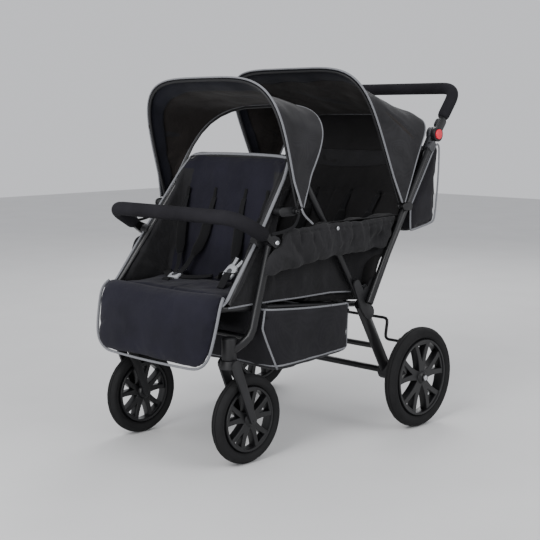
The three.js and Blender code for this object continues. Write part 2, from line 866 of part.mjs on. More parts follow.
function handleJoint(side) {
  const inner = side * (backTubePlane - jointHalfWidth);
  const outer = side * (backTubePlane - runningGap / 2);
  const disc = pin(handlePivot, jointRadius, inner, outer);
  const neckFrom = along(handlePivot, backTubeBend, jointRadius + jointNeckHalf);
  const neckTo = along(handlePivot, backTubeBend, jointNeck + jointNeckReach);
  const neck = link(neckFrom, neckTo, jointNeckHalf * 0.8, jointNeckHalf,
    side * (backTubePlane - jointNeckHalf), side * (backTubePlane + jointNeckHalf));
  const bridge = link(handlePivot, neckTo, jointNeckHalf, jointNeckHalf, inner, outer);
  const inflated = backTubePath(side);
  const beyond = at(side * backTubePlane, along(handlePivot, backTubeBend, jointNeck - gap));
  inflated[inflated.length - 1] = beyond;
  return cut(join(disc, neck, bridge), tube(inflated, backTubeRadius + gap));
}

function handleButton(side) {
  const outer = side * (backTubePlane + jointHalfWidth + buttonProud);
  const inner = side * (backTubePlane + jointHalfWidth + buttonProud - buttonHeight);
  return pin(handlePivot, buttonRadius, inner, outer);
}

// Bumper bar

function bumperCurve(trim) {
  const arms = eachSide((word, side) => {
    const root = at(side * bumperEndPlane, along(frontPivot, bumperFront, bumperGripStart - bumperRadius));
    const corner = at(side * bumperHalf, bumperFront);
    const start = root.clone().lerp(corner, trim / root.distanceTo(corner));
    return [[start, corner]];
  });
  const [left, right] = arms;
  return bend([...left, ...right.reverse()], bumperBendRadius);
}

function bumperBar() {
  const ends = eachSide((word, side) => link(
    frontPivot, along(frontPivot, bumperFront, bumperGripStart), bossRadius, bumperRadius * 1.4,
    side * (bumperEndPlane - bumperEndThickness / 2), side * (bumperEndPlane + bumperEndThickness / 2),
  ));
  const holes = eachSide((word, side) => pin(
    frontPivot, pinRadius + gap, side * legPlane, side * (bumperEndPlane + bumperEndThickness),
  ));
  return cut(join(tube(bumperCurve(0), bumperRadius), ...ends), ...holes);
}

function bumperFoam() {
  const start = bumperRadius * 2.4 + runningGap;
  return cut(tube(bumperCurve(start), bumperFoamRadius), tube(bumperCurve(0), bumperRadius + gap));
}

// Leg rest

function legRestAt(distance, offset, plane) {
  const lean = legRestLean * degree;
  const y = railFront[0] - distance * Math.sin(lean) + offset * Math.cos(lean);
  const z = railFront[1] - distance * Math.cos(lean) - offset * Math.sin(lean);
  return new THREE.Vector3(plane, y, z);
}

function legRestFrame() {
  const offset = (legRestThickness - padCrown) / 2 + legRestTubeRadius + gap;
  const loop = tube(bend([
    legRestAt(0, offset, -legRestFrameHalf), legRestAt(legRestFrameLength, offset, -legRestFrameHalf),
    legRestAt(legRestFrameLength, offset, legRestFrameHalf), legRestAt(0, offset, legRestFrameHalf),
  ], legRestBend), legRestTubeRadius);
  const eyes = eachSide((word, side) => pin(
    railFront, legRestEyeRadius,
    side * (legRestFrameHalf - legRestEyeWidth / 2), side * (legRestFrameHalf + legRestEyeWidth / 2),
  ));
  // Measured over the flats, so that the eye clears the corners of the tube as it turns
  const bore = (railRadius + gap) / Math.cos(Math.PI / pinFacets);
  return cut(join(loop, ...eyes), pin(railFront, bore, -railPlane, railPlane));
}

function legRestPad() {
  const geometry = pad({
    halfFoot: legRestHalfBottom,
    halfTop: legRestHalfTop,
    length: legRestLength,
    thickness: legRestThickness - padCrown,
    crown: padCrown,
    pinch: padPinch,
    channels: [-1 / 3, 1 / 3],
  });
  geometry.rotateX(quarterTurn - legRestLean * degree);
  const foot = legRestAt(legRestTop + legRestLength, 0, 0);
  geometry.translate(foot.x, foot.y, foot.z);
  return geometry;
}

// Canopies

function bowProfile(bow, inset, skirt) {
  const half = bow.half - inset;
  const rise = bow.height - inset - bow.straight;
  const right = [[bow.base - inset, skirt]];
  const arc = [];
  for (let i = 0; i <= archFacets; i += 1) {
    const angle = (Math.PI * i) / archFacets;
    const cosine = Math.cos(angle);
    const x = half * Math.sign(cosine) * Math.abs(cosine) ** (2 / bow.power);
    arc.push([x, bow.straight + rise * Math.sin(angle) ** (2 / bow.power)]);
  }
  arc[archFacets / 2][0] = 0;
  return [...right, ...arc, [-right[0][0], skirt]];
}

function bowPoints(bow, pivot, inset, skirt) {
  const lean = bow.lean * degree;
  return bowProfile(bow, inset, skirt).map(([x, t]) => new THREE.Vector3(
    x, pivot[0] + t * Math.sin(lean), pivot[1] + t * Math.cos(lean),
  ));
}

function canopy(front, rear, pivot, sag) {
  const rows = 4;
  const layer = (inset) => {
    const from = bowPoints(front, pivot, inset, canopySkirt);
    const to = bowPoints(rear, pivot, inset, canopySkirt);
    const grid = [];
    for (let r = 0; r <= rows; r += 1) {
      const share = r / rows;
      const early = share ** sagShare;
      const dip = 4 * early * (1 - early) * sag;
      grid.push(from.map((place, i) => {
        const point = place.clone().lerp(to[i], share);
        const topness = Math.max(0, (point.z - pivot[1]) / front.height - 0.5);
        point.z -= dip * topness;
        return point;
      }));
    }
    return grid;
  };
  return sheet(layer(0), layer(canopyCloth));
}

// The cloth that closes the arch of a bow, from its top down to where its sides start to bend
function canopyBack(shape, pivot) {
  const lean = shape.lean * degree;
  const arch = bowProfile(shape, 0, shape.straight).slice(1, -1);
  const outline = new THREE.Shape(arch.map(([x, t]) => new THREE.Vector2(x, t)));
  const panel = new THREE.ExtrudeGeometry(outline, { depth: canopyCloth, bevelEnabled: false });
  panel.applyMatrix4(new THREE.Matrix4().makeBasis(
    new THREE.Vector3(1, 0, 0),
    new THREE.Vector3(0, Math.sin(lean), Math.cos(lean)),
    new THREE.Vector3(0, -Math.cos(lean), Math.sin(lean)),
  ));
  panel.translate(0, pivot[0], pivot[1]);
  return panel;
}

function bow(shape, pivot, plane) {
  const inset = shape.half - plane;
  const start = (canopyEyeRadius + canopyPinRadius) / 2;
  const points = bowPoints({ ...shape, base: shape.half }, pivot, inset, start);
  points[0].x = plane;
  points[points.length - 1].x = -plane;
  const wire = tube(points, bowRadius, wireSides);
  const eyes = eachSide((word, side) => pin(
    pivot, canopyEyeRadius, side * (plane - bowRadius), side * (plane + bowRadius),
  ));
  const holes = eachSide((word, side) => pin(
    pivot, canopyPinRadius + gap, side * (plane - 2 * canopyEyeRadius), side * (plane + 2 * canopyEyeRadius),
  ));
  return cut(join(wire, ...eyes), ...holes);
}

const frontRearBowPlane = frontRearBow.half - canopyCloth - bowRadius - gap;
const frontBowPlane = frontBow.half - canopyCloth - bowRadius - gap - frontBowNest;
const rearBowPlane = rearBow.half - canopyCloth - bowRadius - gap - bowNest;

function frontClamp(side) {
  const z = frontCanopyPivot[1];
  const post = [hoopYAt(z), z];
  const inner = side * (hoopPlaneAt(z) - hoopRadius * 0.5);
  const plateOuter = side * (frontRearBowPlane - bowRadius - gap);
  const plateInner = side * (frontRearBowPlane - bowRadius - gap - clampPlate);
  const armPlace = [post[0] + hoopRadius, z];
  const arm = pin(armPlace, clampRadius * 0.8, inner, plateInner);
  const cheek = link(armPlace, frontCanopyPivot, clampRadius, clampRadius, plateInner, plateOuter);
  const axisOuter = side * (frontBowPlane + bowRadius + overrun);
  const axis = pin(frontCanopyPivot, canopyPinRadius, plateOuter, axisOuter);
  return cut(join(arm, cheek, axis), tube(hoopPath(), hoopRadius + gap));
}

function backTubeYAt(z) {
  const share = (z - backTubeBend[1]) / (handlePivot[1] - backTubeBend[1]);
  return backTubeBend[0] + (handlePivot[0] - backTubeBend[0]) * share;
}

function rearClamp(side) {
  const z = rearCanopyPivot[1];
  const grip = [backTubeYAt(z), z];
  const inner = side * (backTubePlane + backTubeRadius + gap);
  const outer = side * (backTubePlane + backTubeRadius + gap + clampPlate);
  const cheek = link(grip, rearCanopyPivot, clampRadius, clampRadius * 0.8, inner, outer);
  const axis = pin(rearCanopyPivot, canopyPinRadius, side * (rearBowPlane - bowRadius - gap), outer);
  return join(cheek, axis);
}

// Seats, bag, basket and side panels

function prism(points, offset) {
  const base = points.map((place) => place.clone());
  const lid = points.map((place) => place.clone().add(offset));
  const count = points.length;
  const faces = [];
  for (let i = 1; i < count - 1; i += 1) {
    faces.push(0, i + 1, i, count, count + i, count + i + 1);
  }
  for (let i = 0; i < count; i += 1) {
    const next = (i + 1) % count;
    faces.push(i, next, count + next, i, count + next, count + i);
  }
  const geometry = new THREE.BufferGeometry();
  const places = [...base, ...lid].flatMap((place) => [place.x, place.y, place.z]);
  geometry.setAttribute('position', new THREE.Float32BufferAttribute(places, 3));
  geometry.setIndex(faces);
  geometry.computeVertexNormals();
  return geometry;
}

function frontSeatPad() {
  const depth = frontSeatBack - frontSeatFront;
  const bottom = railZ(frontSeatFront) + railRadius + gap;
  const thickness = frontSeatTop - bottom - padCrown;
  const geometry = pad({
    halfFoot: frontSeatHalf,
    halfTop: frontSeatHalf - padPinch,
    length: depth,
    thickness,
    crown: padCrown,
    pinch: padPinch,
    channels: [0],
  });
  geometry.translate(0, frontSeatFront, bottom + thickness / 2);
  return geometry;
}

function leaningPad(foot, top, size) {
  const lean = Math.atan2(top[0] - foot[0], top[1] - foot[1]);
  const geometry = pad({ ...size, length: Math.hypot(top[0] - foot[0], top[1] - foot[1]) });
  geometry.rotateX(quarterTurn - lean);
  geometry.translate(0, foot[0], foot[1]);
  return geometry;
}

function frontBackrest() {
  return leaningPad(frontBackrestFoot, frontBackrestTop, {
    halfFoot: frontBackrestHalfFoot,
    halfTop: frontBackrestHalfTop,
    thickness: frontPadThickness - padCrown,
    crown: padCrown,
    pinch: padPinch,
    channels: [-0.75, -0.3, 0.3, 0.75],
  });
}

function rearBackrest() {
  const foot = [backTubeYAt(rearBackrestFootZ), rearBackrestFootZ];
  const top = [backTubeYAt(rearBackrestTopZ), rearBackrestTopZ];
  return leaningPad(foot, top, {
    halfFoot: rearBackrestHalf,
    halfTop: rearBackrestHalf,
    thickness: rearPadThickness - padCrown,
    crown: padCrown,
    pinch: padPinch,
    channels: [-0.72, -0.28, 0.28, 0.72],
  });
}

function rearSeatPad() {
  const lift = railRadius + gap + (rearSeatThickness - padCrown) / 2;
  const slope = Math.atan2(railZ(rearSeatFront) - railZ(rearSeatBack), rearSeatBack - rearSeatFront);
  const geometry = pad({
    halfFoot: rearSeatHalf,
    halfTop: rearSeatHalf,
    length: rearSeatBack - rearSeatFront,
    thickness: rearSeatThickness - padCrown,
    crown: padCrown,
    pinch: padPinch,
    channels: [0],
  });
  geometry.translate(0, 0, lift);
  geometry.rotateX(-slope);
  geometry.translate(0, rearSeatFront, railZ(rearSeatFront));
  return geometry;
}

function frontWing(side) {
  const inset = hoopRadius + wingThickness + gap;
  const topZ = frontBackrestTop[1] - wingTopDrop;
  const footZ = frontSeatTop - padCrown * 2;
  const offset = new THREE.Vector3(wingThickness, 0, 0);
  const corners = [
    new THREE.Vector3(hoopPlaneAt(topZ) - inset, hoopYAt(topZ) - wingFrontInset, topZ),
    new THREE.Vector3(hoopPlaneAt(footZ) - inset, hoopYAt(footZ) + wingFootInset, footZ),
    new THREE.Vector3(hoopPlaneAt(footZ) - inset, frontBackrestFoot[0] - frontPadThickness, footZ),
    new THREE.Vector3(hoopPlaneAt(topZ) - inset, hoopYAt(topZ) + wingBackInset, topZ),
  ];
  const body = prism(corners, offset);
  if (side < 0) {
    body.scale(-1, 1, 1);
    const index = body.getIndex();
    for (let i = 0; i < index.count; i += 3) {
      const swap = index.getX(i + 1);
      index.setX(i + 1, index.getX(i + 2));
      index.setX(i + 2, swap);
    }
  }
  return body;
}

function sidePanel(side) {
  const inner = side * (legPlane + legRadius + gap);
  const outer = side * (legPlane + legRadius + gap + sidePanelThickness);
  const lean = Math.atan2(handlePivot[0] - backTubeBend[0], handlePivot[1] - backTubeBend[1]);
  const reach = (backTubeRadius + gap) / Math.cos(lean);
  const outline = [
    sidePanelToe, sidePanelBelly, sidePanelSeam,
    [backTubeYAt(sidePanelTailZ) - reach, sidePanelTailZ],
    [backTubeYAt(sidePanelTopZ) - reach, sidePanelTopZ],
    sidePanelHem, sidePanelShoulder, sidePanelFront,
  ];
  const body = plate(sideShape(outline), inner, outer);
  const z = rearCanopyPivot[1];
  const clampRoom = link(
    [backTubeYAt(z), z], rearCanopyPivot, clampRadius + gap, clampRadius + gap,
    inner - side * overrun, outer + side * overrun,
  );
  const swing = [0, bumperTravel / 2, bumperTravel].map((turn) => {
    const level = Math.atan2(bumperFront[1] - frontPivot[1], bumperFront[0] - frontPivot[0]);
    const heading = level - turn * degree;
    const tip = [
      frontPivot[0] + bumperGripStart * Math.cos(heading),
      frontPivot[1] + bumperGripStart * Math.sin(heading),
    ];
    return link(
      frontPivot, tip, bossRadius + runningGap, bumperRadius * 1.4 + runningGap,
      inner - side * overrun, outer + side * overrun,
    );
  });
  return cut(body, clampRoom, ...swing);
}

function bag() {
  const lean = Math.atan2(handlePivot[0] - backTubeBend[0], handlePivot[1] - backTubeBend[1]);
  const reach = (jointNeckHalf + gap) / Math.cos(lean);
  const outline = [
    bagFoot, bagHeel, bagShoulder,
    [backTubeYAt(bagTopZ) + reach, bagTopZ], [backTubeYAt(bagNotchZ) + reach, bagNotchZ],
  ];
  return plate(sideShape(outline), -bagHalf, bagHalf);
}

function basket() {
  const drop = railRadius + gap;
  const frontTop = [basketFrontTopY, railZ(basketFrontTopY) - drop];
  const rearTop = [basketRearTopY, railZ(basketRearTopY) - drop];
  const outline = sideShape([basketToe, basketHeel, rearTop, frontTop, basketChest]);
  const outer = plate(outline, -basketHalf, basketHalf);
  const inner = plate(sideShape([
    [basketToe[0] + basketWall, basketToe[1] + basketWall],
    [basketHeel[0] - basketWall, basketHeel[1] + basketWall],
    [rearTop[0] - basketWall, rearTop[1] + overrun * 2],
    [frontTop[0] + basketWall, frontTop[1] + overrun * 2],
    [basketChest[0] + basketWall, basketChest[1]],
  ]), -basketHalf + basketWall, basketHalf - basketWall);
  return cut(outer, inner);
}

// Assembly

const stroller = new THREE.Group();

const seatChassis = new THREE.Group();
seatChassis.add(piece('seat_frame', seatFrame(), tubeBlack));
seatChassis.add(piece('front_hoop', frontHoop(), tubeBlack));
seatChassis.add(...eachSide((word, side) => [
  piece(`front_pivot_bracket_${word}`, pivotBracket(side), plasticBlack),
  piece(`front_pivot_bolt_${word}`, pivotBolt(side), steelBright),
  piece(`strut_${word}`, strut(side), tubeBlack),
  piece(`back_tube_${word}`, tube(backTubePath(side), backTubeRadius), tubeBlack),
  piece(`knee_bracket_${word}`, kneeBracket(side), plasticBlack),
  piece(`handle_joint_${word}`, handleJoint(side), plasticGrey),
  piece(`frame_latch_${word}`, frameLatch(side), steelBright),
]));
stroller.add(seatChassis);

const frontLegs = new THREE.Group();
frontLegs.add(piece('front_leg_frame', frontLegFrame(), tubeBlack));
frontLegs.add(...eachSide((word, side) => [
  piece(`caster_housing_${word}`, housing(side), plasticBlack),
  piece(`front_fork_${word}`, fork(side), plasticBlack),
]));
frontLegs.add(...frontWheels());
stroller.add(frontLegs);

const rearLegs = new THREE.Group();
rearLegs.add(piece('rear_leg_frame', rearLegFrame(), tubeBlack));
rearLegs.add(piece('rear_axle', rearAxle(), tubeBlack));
rearLegs.add(piece('brake_bar', brakeBar(), tubeBlack));
rearLegs.add(...eachSide((word, side) => [piece(`axle_housing_${word}`, axleHousing(side), plasticBlack)]));
rearLegs.add(...rearWheels());
stroller.add(rearLegs);

const handle = new THREE.Group();
handle.add(piece('handle_bar', handleBar(), tubeBlack));
handle.add(piece('handle_foam', handleFoam(), foamBlack));
handle.add(...eachSide((word, side) => [piece(`handle_button_${word}`, handleButton(side), plasticRed)]));
stroller.add(handle);

const bumper = new THREE.Group();
bumper.add(piece('bumper_bar', bumperBar(), tubeBlack));
bumper.add(piece('bumper_foam', bumperFoam(), foamBlack));
stroller.add(bumper);

const legRest = new THREE.Group();
legRest.add(piece('leg_rest_frame', legRestFrame(), tubeBlack));
legRest.add(piece('leg_rest_pad', legRestPad(), clothNavy));
stroller.add(legRest);

const frontHood = new THREE.Group();
const frontCloth = canopy(frontBow, frontRearBow, frontCanopyPivot, frontSag);
const frontRearWire = bow(frontRearBow, frontCanopyPivot, frontRearBowPlane);
const frontWire = bow(frontBow, frontCanopyPivot, frontBowPlane);
frontHood.add(piece('front_canopy', frontCloth, clothCharcoal));
frontHood.add(piece('front_canopy_rear_bow', frontRearWire, plasticBlack));
frontHood.add(piece('front_canopy_front_bow', frontWire, plasticBlack));
frontHood.add(...eachSide((word, side) => [
  piece(`front_canopy_clamp_${word}`, frontClamp(side), plasticBlack),
]));
stroller.add(frontHood);

const rearHood = new THREE.Group();
const rearTop = canopy(rearBow, rearSeam, rearCanopyPivot, rearSag);
const rearCloth = join(rearTop, canopyBack(rearSeam, rearCanopyPivot));
const rearWire = bow(rearBow, rearCanopyPivot, rearBowPlane);
rearHood.add(piece('rear_canopy', rearCloth, clothCharcoal));
rearHood.add(piece('rear_canopy_front_bow', rearWire, plasticBlack));
rearHood.add(...eachSide((word, side) => [
  piece(`rear_canopy_clamp_${word}`, rearClamp(side), plasticBlack),
]));
stroller.add(rearHood);

const softGoods = new THREE.Group();
const frontSling = join(frontSeatPad(), ...eachSide((word, side) => frontWing(side)));
softGoods.add(piece('front_seat_sling', frontSling, clothNavy));
softGoods.add(piece('front_backrest', frontBackrest(), clothNavy));
softGoods.add(piece('rear_seat_pad', rearSeatPad(), clothCharcoal));
softGoods.add(piece('rear_backrest', rearBackrest(), clothCharcoal));
softGoods.add(piece('storage_bag', bag(), clothCharcoal));
softGoods.add(piece('basket', basket(), clothCharcoal));
softGoods.add(...eachSide((word, side) => [piece(`side_panel_${word}`, sidePanel(side), clothCharcoal)]));
stroller.add(softGoods);

// The origin is the middle of the footprint, on the ground
const extent = new THREE.Box3().setFromObject(stroller);
stroller.position.set(0, -(extent.min.y + extent.max.y) / 2, -extent.min.z);
stroller.updateMatrixWorld(true);

export default stroller;
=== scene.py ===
"""Looks of the four-seat pushchair: cloth, padding, straps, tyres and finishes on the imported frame."""

import json
import math
from contextlib import contextmanager

import bmesh
import bpy
import numpy as np
from mathutils import Matrix, Vector, noise

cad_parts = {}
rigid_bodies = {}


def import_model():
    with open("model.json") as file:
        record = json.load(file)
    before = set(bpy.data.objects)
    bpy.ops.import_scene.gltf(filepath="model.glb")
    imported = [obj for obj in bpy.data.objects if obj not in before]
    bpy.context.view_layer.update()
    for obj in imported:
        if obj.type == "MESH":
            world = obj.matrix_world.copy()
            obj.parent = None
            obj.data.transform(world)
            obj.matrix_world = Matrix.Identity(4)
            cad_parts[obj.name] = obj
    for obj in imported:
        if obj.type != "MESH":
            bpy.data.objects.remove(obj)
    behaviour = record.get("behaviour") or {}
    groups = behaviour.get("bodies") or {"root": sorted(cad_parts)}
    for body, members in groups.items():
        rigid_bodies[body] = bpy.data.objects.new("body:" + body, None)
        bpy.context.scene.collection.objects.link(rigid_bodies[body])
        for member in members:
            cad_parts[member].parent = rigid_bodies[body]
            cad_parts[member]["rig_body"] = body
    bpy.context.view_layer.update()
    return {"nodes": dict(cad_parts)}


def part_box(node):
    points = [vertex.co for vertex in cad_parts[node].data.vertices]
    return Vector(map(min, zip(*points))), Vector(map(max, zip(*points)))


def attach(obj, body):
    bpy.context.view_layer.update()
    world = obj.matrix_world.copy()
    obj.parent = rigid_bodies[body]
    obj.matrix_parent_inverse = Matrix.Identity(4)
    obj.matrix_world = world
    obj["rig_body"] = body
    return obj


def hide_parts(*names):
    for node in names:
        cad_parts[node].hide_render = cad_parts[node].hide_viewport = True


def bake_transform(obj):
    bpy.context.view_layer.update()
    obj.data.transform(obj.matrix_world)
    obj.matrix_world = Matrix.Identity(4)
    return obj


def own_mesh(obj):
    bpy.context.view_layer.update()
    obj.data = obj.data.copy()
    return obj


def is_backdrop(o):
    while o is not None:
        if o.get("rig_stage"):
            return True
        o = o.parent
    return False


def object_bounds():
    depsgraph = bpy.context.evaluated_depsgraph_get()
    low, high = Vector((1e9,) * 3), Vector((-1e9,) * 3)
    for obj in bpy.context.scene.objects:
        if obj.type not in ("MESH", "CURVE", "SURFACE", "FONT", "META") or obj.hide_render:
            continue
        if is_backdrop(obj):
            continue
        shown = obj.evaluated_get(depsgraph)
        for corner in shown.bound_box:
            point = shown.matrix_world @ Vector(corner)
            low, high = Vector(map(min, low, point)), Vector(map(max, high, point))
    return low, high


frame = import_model()

# Places are in millimetres from the front axle and the ground; SHIFT moves them to the frame's origin
axle_low, axle_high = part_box("rear_axle")
SHIFT = (axle_low.y + axle_high.y) / 2 - 0.648
SIDES = {"left": -1, "right": 1}


def at(x, y, z):
    return Vector((x / 1000, y / 1000 + SHIFT, z / 1000))


def clamped(value):
    """value, kept between 0 and 1."""
    return min(1, max(0, value))


# Camera at the photograph's viewing angle
camera = bpy.data.objects.new("camera", bpy.data.cameras.new("camera"))
bpy.context.scene.collection.objects.link(camera)
camera.location = at(2364.3, -2158.0, 976.6)
camera.rotation_euler = (math.radians(90) - 0.137, 0, 0.766)
camera.data.sensor_width = 36
camera.data.lens = 73.86
camera.data.shift_x = 0.0156
camera.data.shift_y = -0.0048
bpy.context.scene.camera = camera


# Node materials

WAVE_PERIOD = 0.314  # metres between two bands of a wave texture of scale 1


def shader(name):
    material = bpy.data.materials.new(name)
    material.use_nodes = True
    tree = material.node_tree
    return material, tree, tree.nodes["Principled BSDF"]


def feed(tree, made, **inputs):
    """Links or sets a node's inputs, by name or by number, as in _0."""
    for key, value in inputs.items():
        socket = made.inputs[int(key[1:])] if key[0] == "_" else made.inputs[key.replace("_", " ")]
        if isinstance(value, bpy.types.NodeSocket):
            tree.links.new(value, socket)
        else:
            socket.default_value = value


def node(tree, kind, settings=None, **inputs):
    made = tree.nodes.new(kind)
    for key, value in (settings or {}).items():
        setattr(made, key, value)
    feed(tree, made, **inputs)
    return made


def places(tree):
    return node(tree, "ShaderNodeTexCoord").outputs["Object"]


def texture(tree, kind, settings=None, **inputs):
    return node(tree, f"ShaderNodeTex{kind}", settings, **inputs).outputs["Fac"]


def bump(tree, height, strength, distance, **inputs):
    made = node(tree, "ShaderNodeBump", Height=height, Strength=strength, Distance=distance, **inputs)
    return made.outputs["Normal"]


def between(tree, value, low, high):
    return node(tree, "ShaderNodeMapRange", Value=value, To_Min=low, To_Max=high).outputs["Result"]


def scaled(colour, factor):
    return tuple(min(1.0, c * factor) for c in colour) + (1.0,)


def ramp(tree, factor, stops):
    made = node(tree, "ShaderNodeValToRGB", Fac=factor)
    elements = made.color_ramp.elements
    while len(elements) < len(stops):
        elements.new(0.5)
    for element, (place, colour) in zip(elements, stops):
        element.position = place
        element.color = colour
    return made.outputs["Color"]


def fabric(name, colour, thread=0.0016, rough=0.9, sheen=0.06, crease=0.5, streak=(1, 1, 1)):
    """Woven cloth: two crossed sets of threads, uneven dye, and creases drawn out along streak."""
    material, tree, out = shader(name)
    where = places(tree)
    broad = texture(tree, "Noise", Vector=where, Scale=7.0, Detail=4.0, Roughness=0.6)
    base = ramp(tree, broad, [(0.3, scaled(colour, 0.72)), (0.72, scaled(colour, 1.35))])
    warp, weft = [texture(tree, "Wave", {"bands_direction": axis}, Vector=where, Scale=WAVE_PERIOD / thread,
                          Distortion=0.6) for axis in "XZ"]
    weave = node(tree, "ShaderNodeMath", {"operation": "MULTIPLY"}, _0=warp, _1=weft).outputs["Value"]
    shade = ramp(tree, weave, [(0.0, (0.55, 0.55, 0.55, 1)), (0.6, (1.15, 1.15, 1.15, 1))])
    mixed = node(tree, "ShaderNodeMix", {"data_type": "RGBA", "blend_type": "MULTIPLY"}, Factor=0.45)
    tree.links.new(base, mixed.inputs["A"])
    tree.links.new(shade, mixed.inputs["B"])
    stretched = node(tree, "ShaderNodeMapping", Vector=where, Scale=streak).outputs["Vector"]
    folds = texture(tree, "Noise", Vector=stretched, Scale=16.0, Detail=3.0, Distortion=0.5)
    fine = bump(tree, weave, 0.35, 0.0004)
    feed(tree, out, Base_Color=mixed.outputs["Result"], Normal=bump(tree, folds, crease, 0.006, Normal=fine),
         Roughness=between(tree, folds, rough - 0.08, min(1.0, rough + 0.06)), Sheen_Weight=sheen,
         Sheen_Roughness=0.5, Specular_IOR_Level=0.16)
    return material


def moulded(name, colour, rough=0.5, grain=420.0, height=0.12, metallic=0.0, spread=0.12, specular=0.5):
    """Paint, plastic, rubber or foam: a fine grain, uneven tone and scuffs in the gloss."""
    material, tree, out = shader(name)
    where = places(tree)
    broad = texture(tree, "Noise", Vector=where, Scale=11.0, Detail=5.0)
    tone = ramp(tree, broad, [(0.3, scaled(colour, 0.8)), (0.7, scaled(colour, 1.3))])
    speckle = texture(tree, "Noise", Vector=where, Scale=grain, Detail=2.0)
    scuffs = texture(tree, "Noise", Vector=where, Scale=38.0, Detail=6.0, Roughness=0.7)
    feed(tree, out, Base_Color=tone, Normal=bump(tree, speckle, height, 0.0004),
         Roughness=between(tree, scuffs, max(0.05, rough - spread), min(1.0, rough + spread)),
         Metallic=metallic, Specular_IOR_Level=specular)
    return material


def webbing(name, colour, rib=0.0022):
    """Ribbed tape."""
    material, tree, out = shader(name)
    ribs = texture(tree, "Wave", {"bands_direction": "DIAGONAL"}, Vector=places(tree), Scale=WAVE_PERIOD / rib,
                   Distortion=0.4)
    tone = ramp(tree, ribs, [(0.1, scaled(colour, 0.7)), (0.8, scaled(colour, 1.25))])
    feed(tree, out, Base_Color=tone, Normal=bump(tree, ribs, 0.4, 0.0005), Roughness=0.82, Sheen_Weight=0.03,
         Specular_IOR_Level=0.2)
    return material


CHARCOAL = (0.0190, 0.0187, 0.0208)
NAVY = (0.0096, 0.0092, 0.0160)
looks = {
    "canopy": fabric("canopy_cloth", CHARCOAL, crease=0.35),
    "hem": fabric("hood_hem_cloth", (0.008, 0.0085, 0.0135), crease=0.3),
    "lining": fabric("lining_cloth", (0.0105, 0.0100, 0.0105), crease=0.6),
    "inside": fabric("hood_lining_cloth", (0.0190, 0.0160, 0.0150), crease=0.8),
    "seat": fabric("seat_cloth", NAVY, crease=0.45),
    "side": fabric("side_cloth", (0.0150, 0.0148, 0.0162), crease=0.9, streak=(1, 1.6, 0.7)),
    "bag": fabric("bag_cloth", (0.0120, 0.0116, 0.0142), crease=0.4),
    "padding": fabric("harness_pad_cloth", (0.0035, 0.0035, 0.0042), crease=0.3),
    # Painted shade: a near-black ribbed strip laid where the harness slots' openings lie in shadow
    "shadow": webbing("slot_painted_shade", (0.003, 0.003, 0.0035)),
    "piping": webbing("piping_tape", (0.17, 0.173, 0.185)),
    "strap": webbing("harness_webbing", (0.0055, 0.0055, 0.0065)),
    "tube": moulded("tube_paint", (0.008, 0.008, 0.009), rough=0.36, metallic=0.25, grain=900, height=0.08),
    "plastic": moulded("moulded_plastic", (0.009, 0.009, 0.01), rough=0.5, specular=0.35),
    "rim": moulded("rim_plastic", (0.0062, 0.0062, 0.007), rough=0.34, grain=300, specular=0.35),
    "tyre": moulded("tyre_rubber", (0.0085, 0.0085, 0.009), rough=0.8, grain=260, height=0.3, specular=0.22),
    "foam": moulded("grip_foam", (0.0125, 0.012, 0.0145), rough=0.9, grain=620, height=0.5, specular=0.12),
    "red": moulded("red_plastic", (0.60, 0.02, 0.04), rough=0.35, height=0.05),
    "grey": moulded("grey_plastic", (0.035, 0.036, 0.04), rough=0.45),
    "buckle": moulded("buckle_plastic", (0.36, 0.37, 0.39), rough=0.35, height=0.06),
    "steel": moulded("bright_steel", (0.5, 0.51, 0.53), rough=0.28, metallic=0.95, height=0.04),
}


# Mesh helpers

def add_mesh(name, mesh, look, body=None, nodes=()):
    made = bpy.data.objects.new(name, mesh)
    bpy.context.scene.collection.objects.link(made)
    mesh.materials.clear()
    mesh.materials.append(looks[look])
    if nodes:
        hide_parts(*nodes)
    if body:
        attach(made, body)
    return made


def smooth_shading(mesh, smooth=True):
    mesh.polygons.foreach_set("use_smooth", [smooth] * len(mesh.polygons))


@contextmanager
def editing(mesh):
    """A bmesh of the mesh, written back at the end."""
    shape = bmesh.new()
    shape.from_mesh(mesh)
    yield shape
    shape.to_mesh(mesh)
    shape.free()


def tidy(mesh):
    with editing(mesh) as shape:
        bmesh.ops.remove_doubles(shape, verts=shape.verts, dist=1e-6)
        bmesh.ops.recalc_face_normals(shape, faces=shape.faces)
    smooth_shading(mesh)


def soften(obj, angle=38):
    """Keeps lines sharp where two faces meet at more than angle."""
    with editing(obj.data) as shape:
        for line in shape.edges:
            if len(line.link_faces) == 2 and line.calc_face_angle(0) > math.radians(angle):
                line.smooth = False
    return obj


def ring_faces(rings, count):
    """Four-sided faces between closed rings of count points."""
    return [(i * count + k, i * count + (k + 1) % count, (i + 1) * count + (k + 1) % count, (i + 1) * count + k)
            for i in range(rings - 1) for k in range(count)]


def mesh_from(name, points, faces, smooth=True):
    mesh = bpy.data.meshes.new(name)
    mesh.from_pydata([tuple(p) for p in points], [], faces)
    mesh.validate()
    smooth_shading(mesh, smooth)
    mesh.update()
    return mesh


def applied(obj):
    """Bakes obj's modifiers into its mesh."""
    bpy.context.view_layer.update()
    graph = bpy.context.evaluated_depsgraph_get()
    mesh = bpy.data.meshes.new_from_object(obj.evaluated_get(graph))
    obj.modifiers.clear()
    obj.data = mesh
    return obj


def subdivide(obj):
    more = obj.modifiers.new("smooth", "SUBSURF")
    more.levels = more.render_levels = 1


def thicken(obj, thickness):
    solid = obj.modifiers.new("thick", "SOLIDIFY")
    solid.thickness = thickness
    solid.offset = 0


def bevel_edges(obj, width, segments, angle):
    edge = obj.modifiers.new("edge", "BEVEL")
    edge.width = width
    edge.segments = segments
    edge.limit_method = "ANGLE"
    edge.angle_limit = math.radians(angle)
    return edge


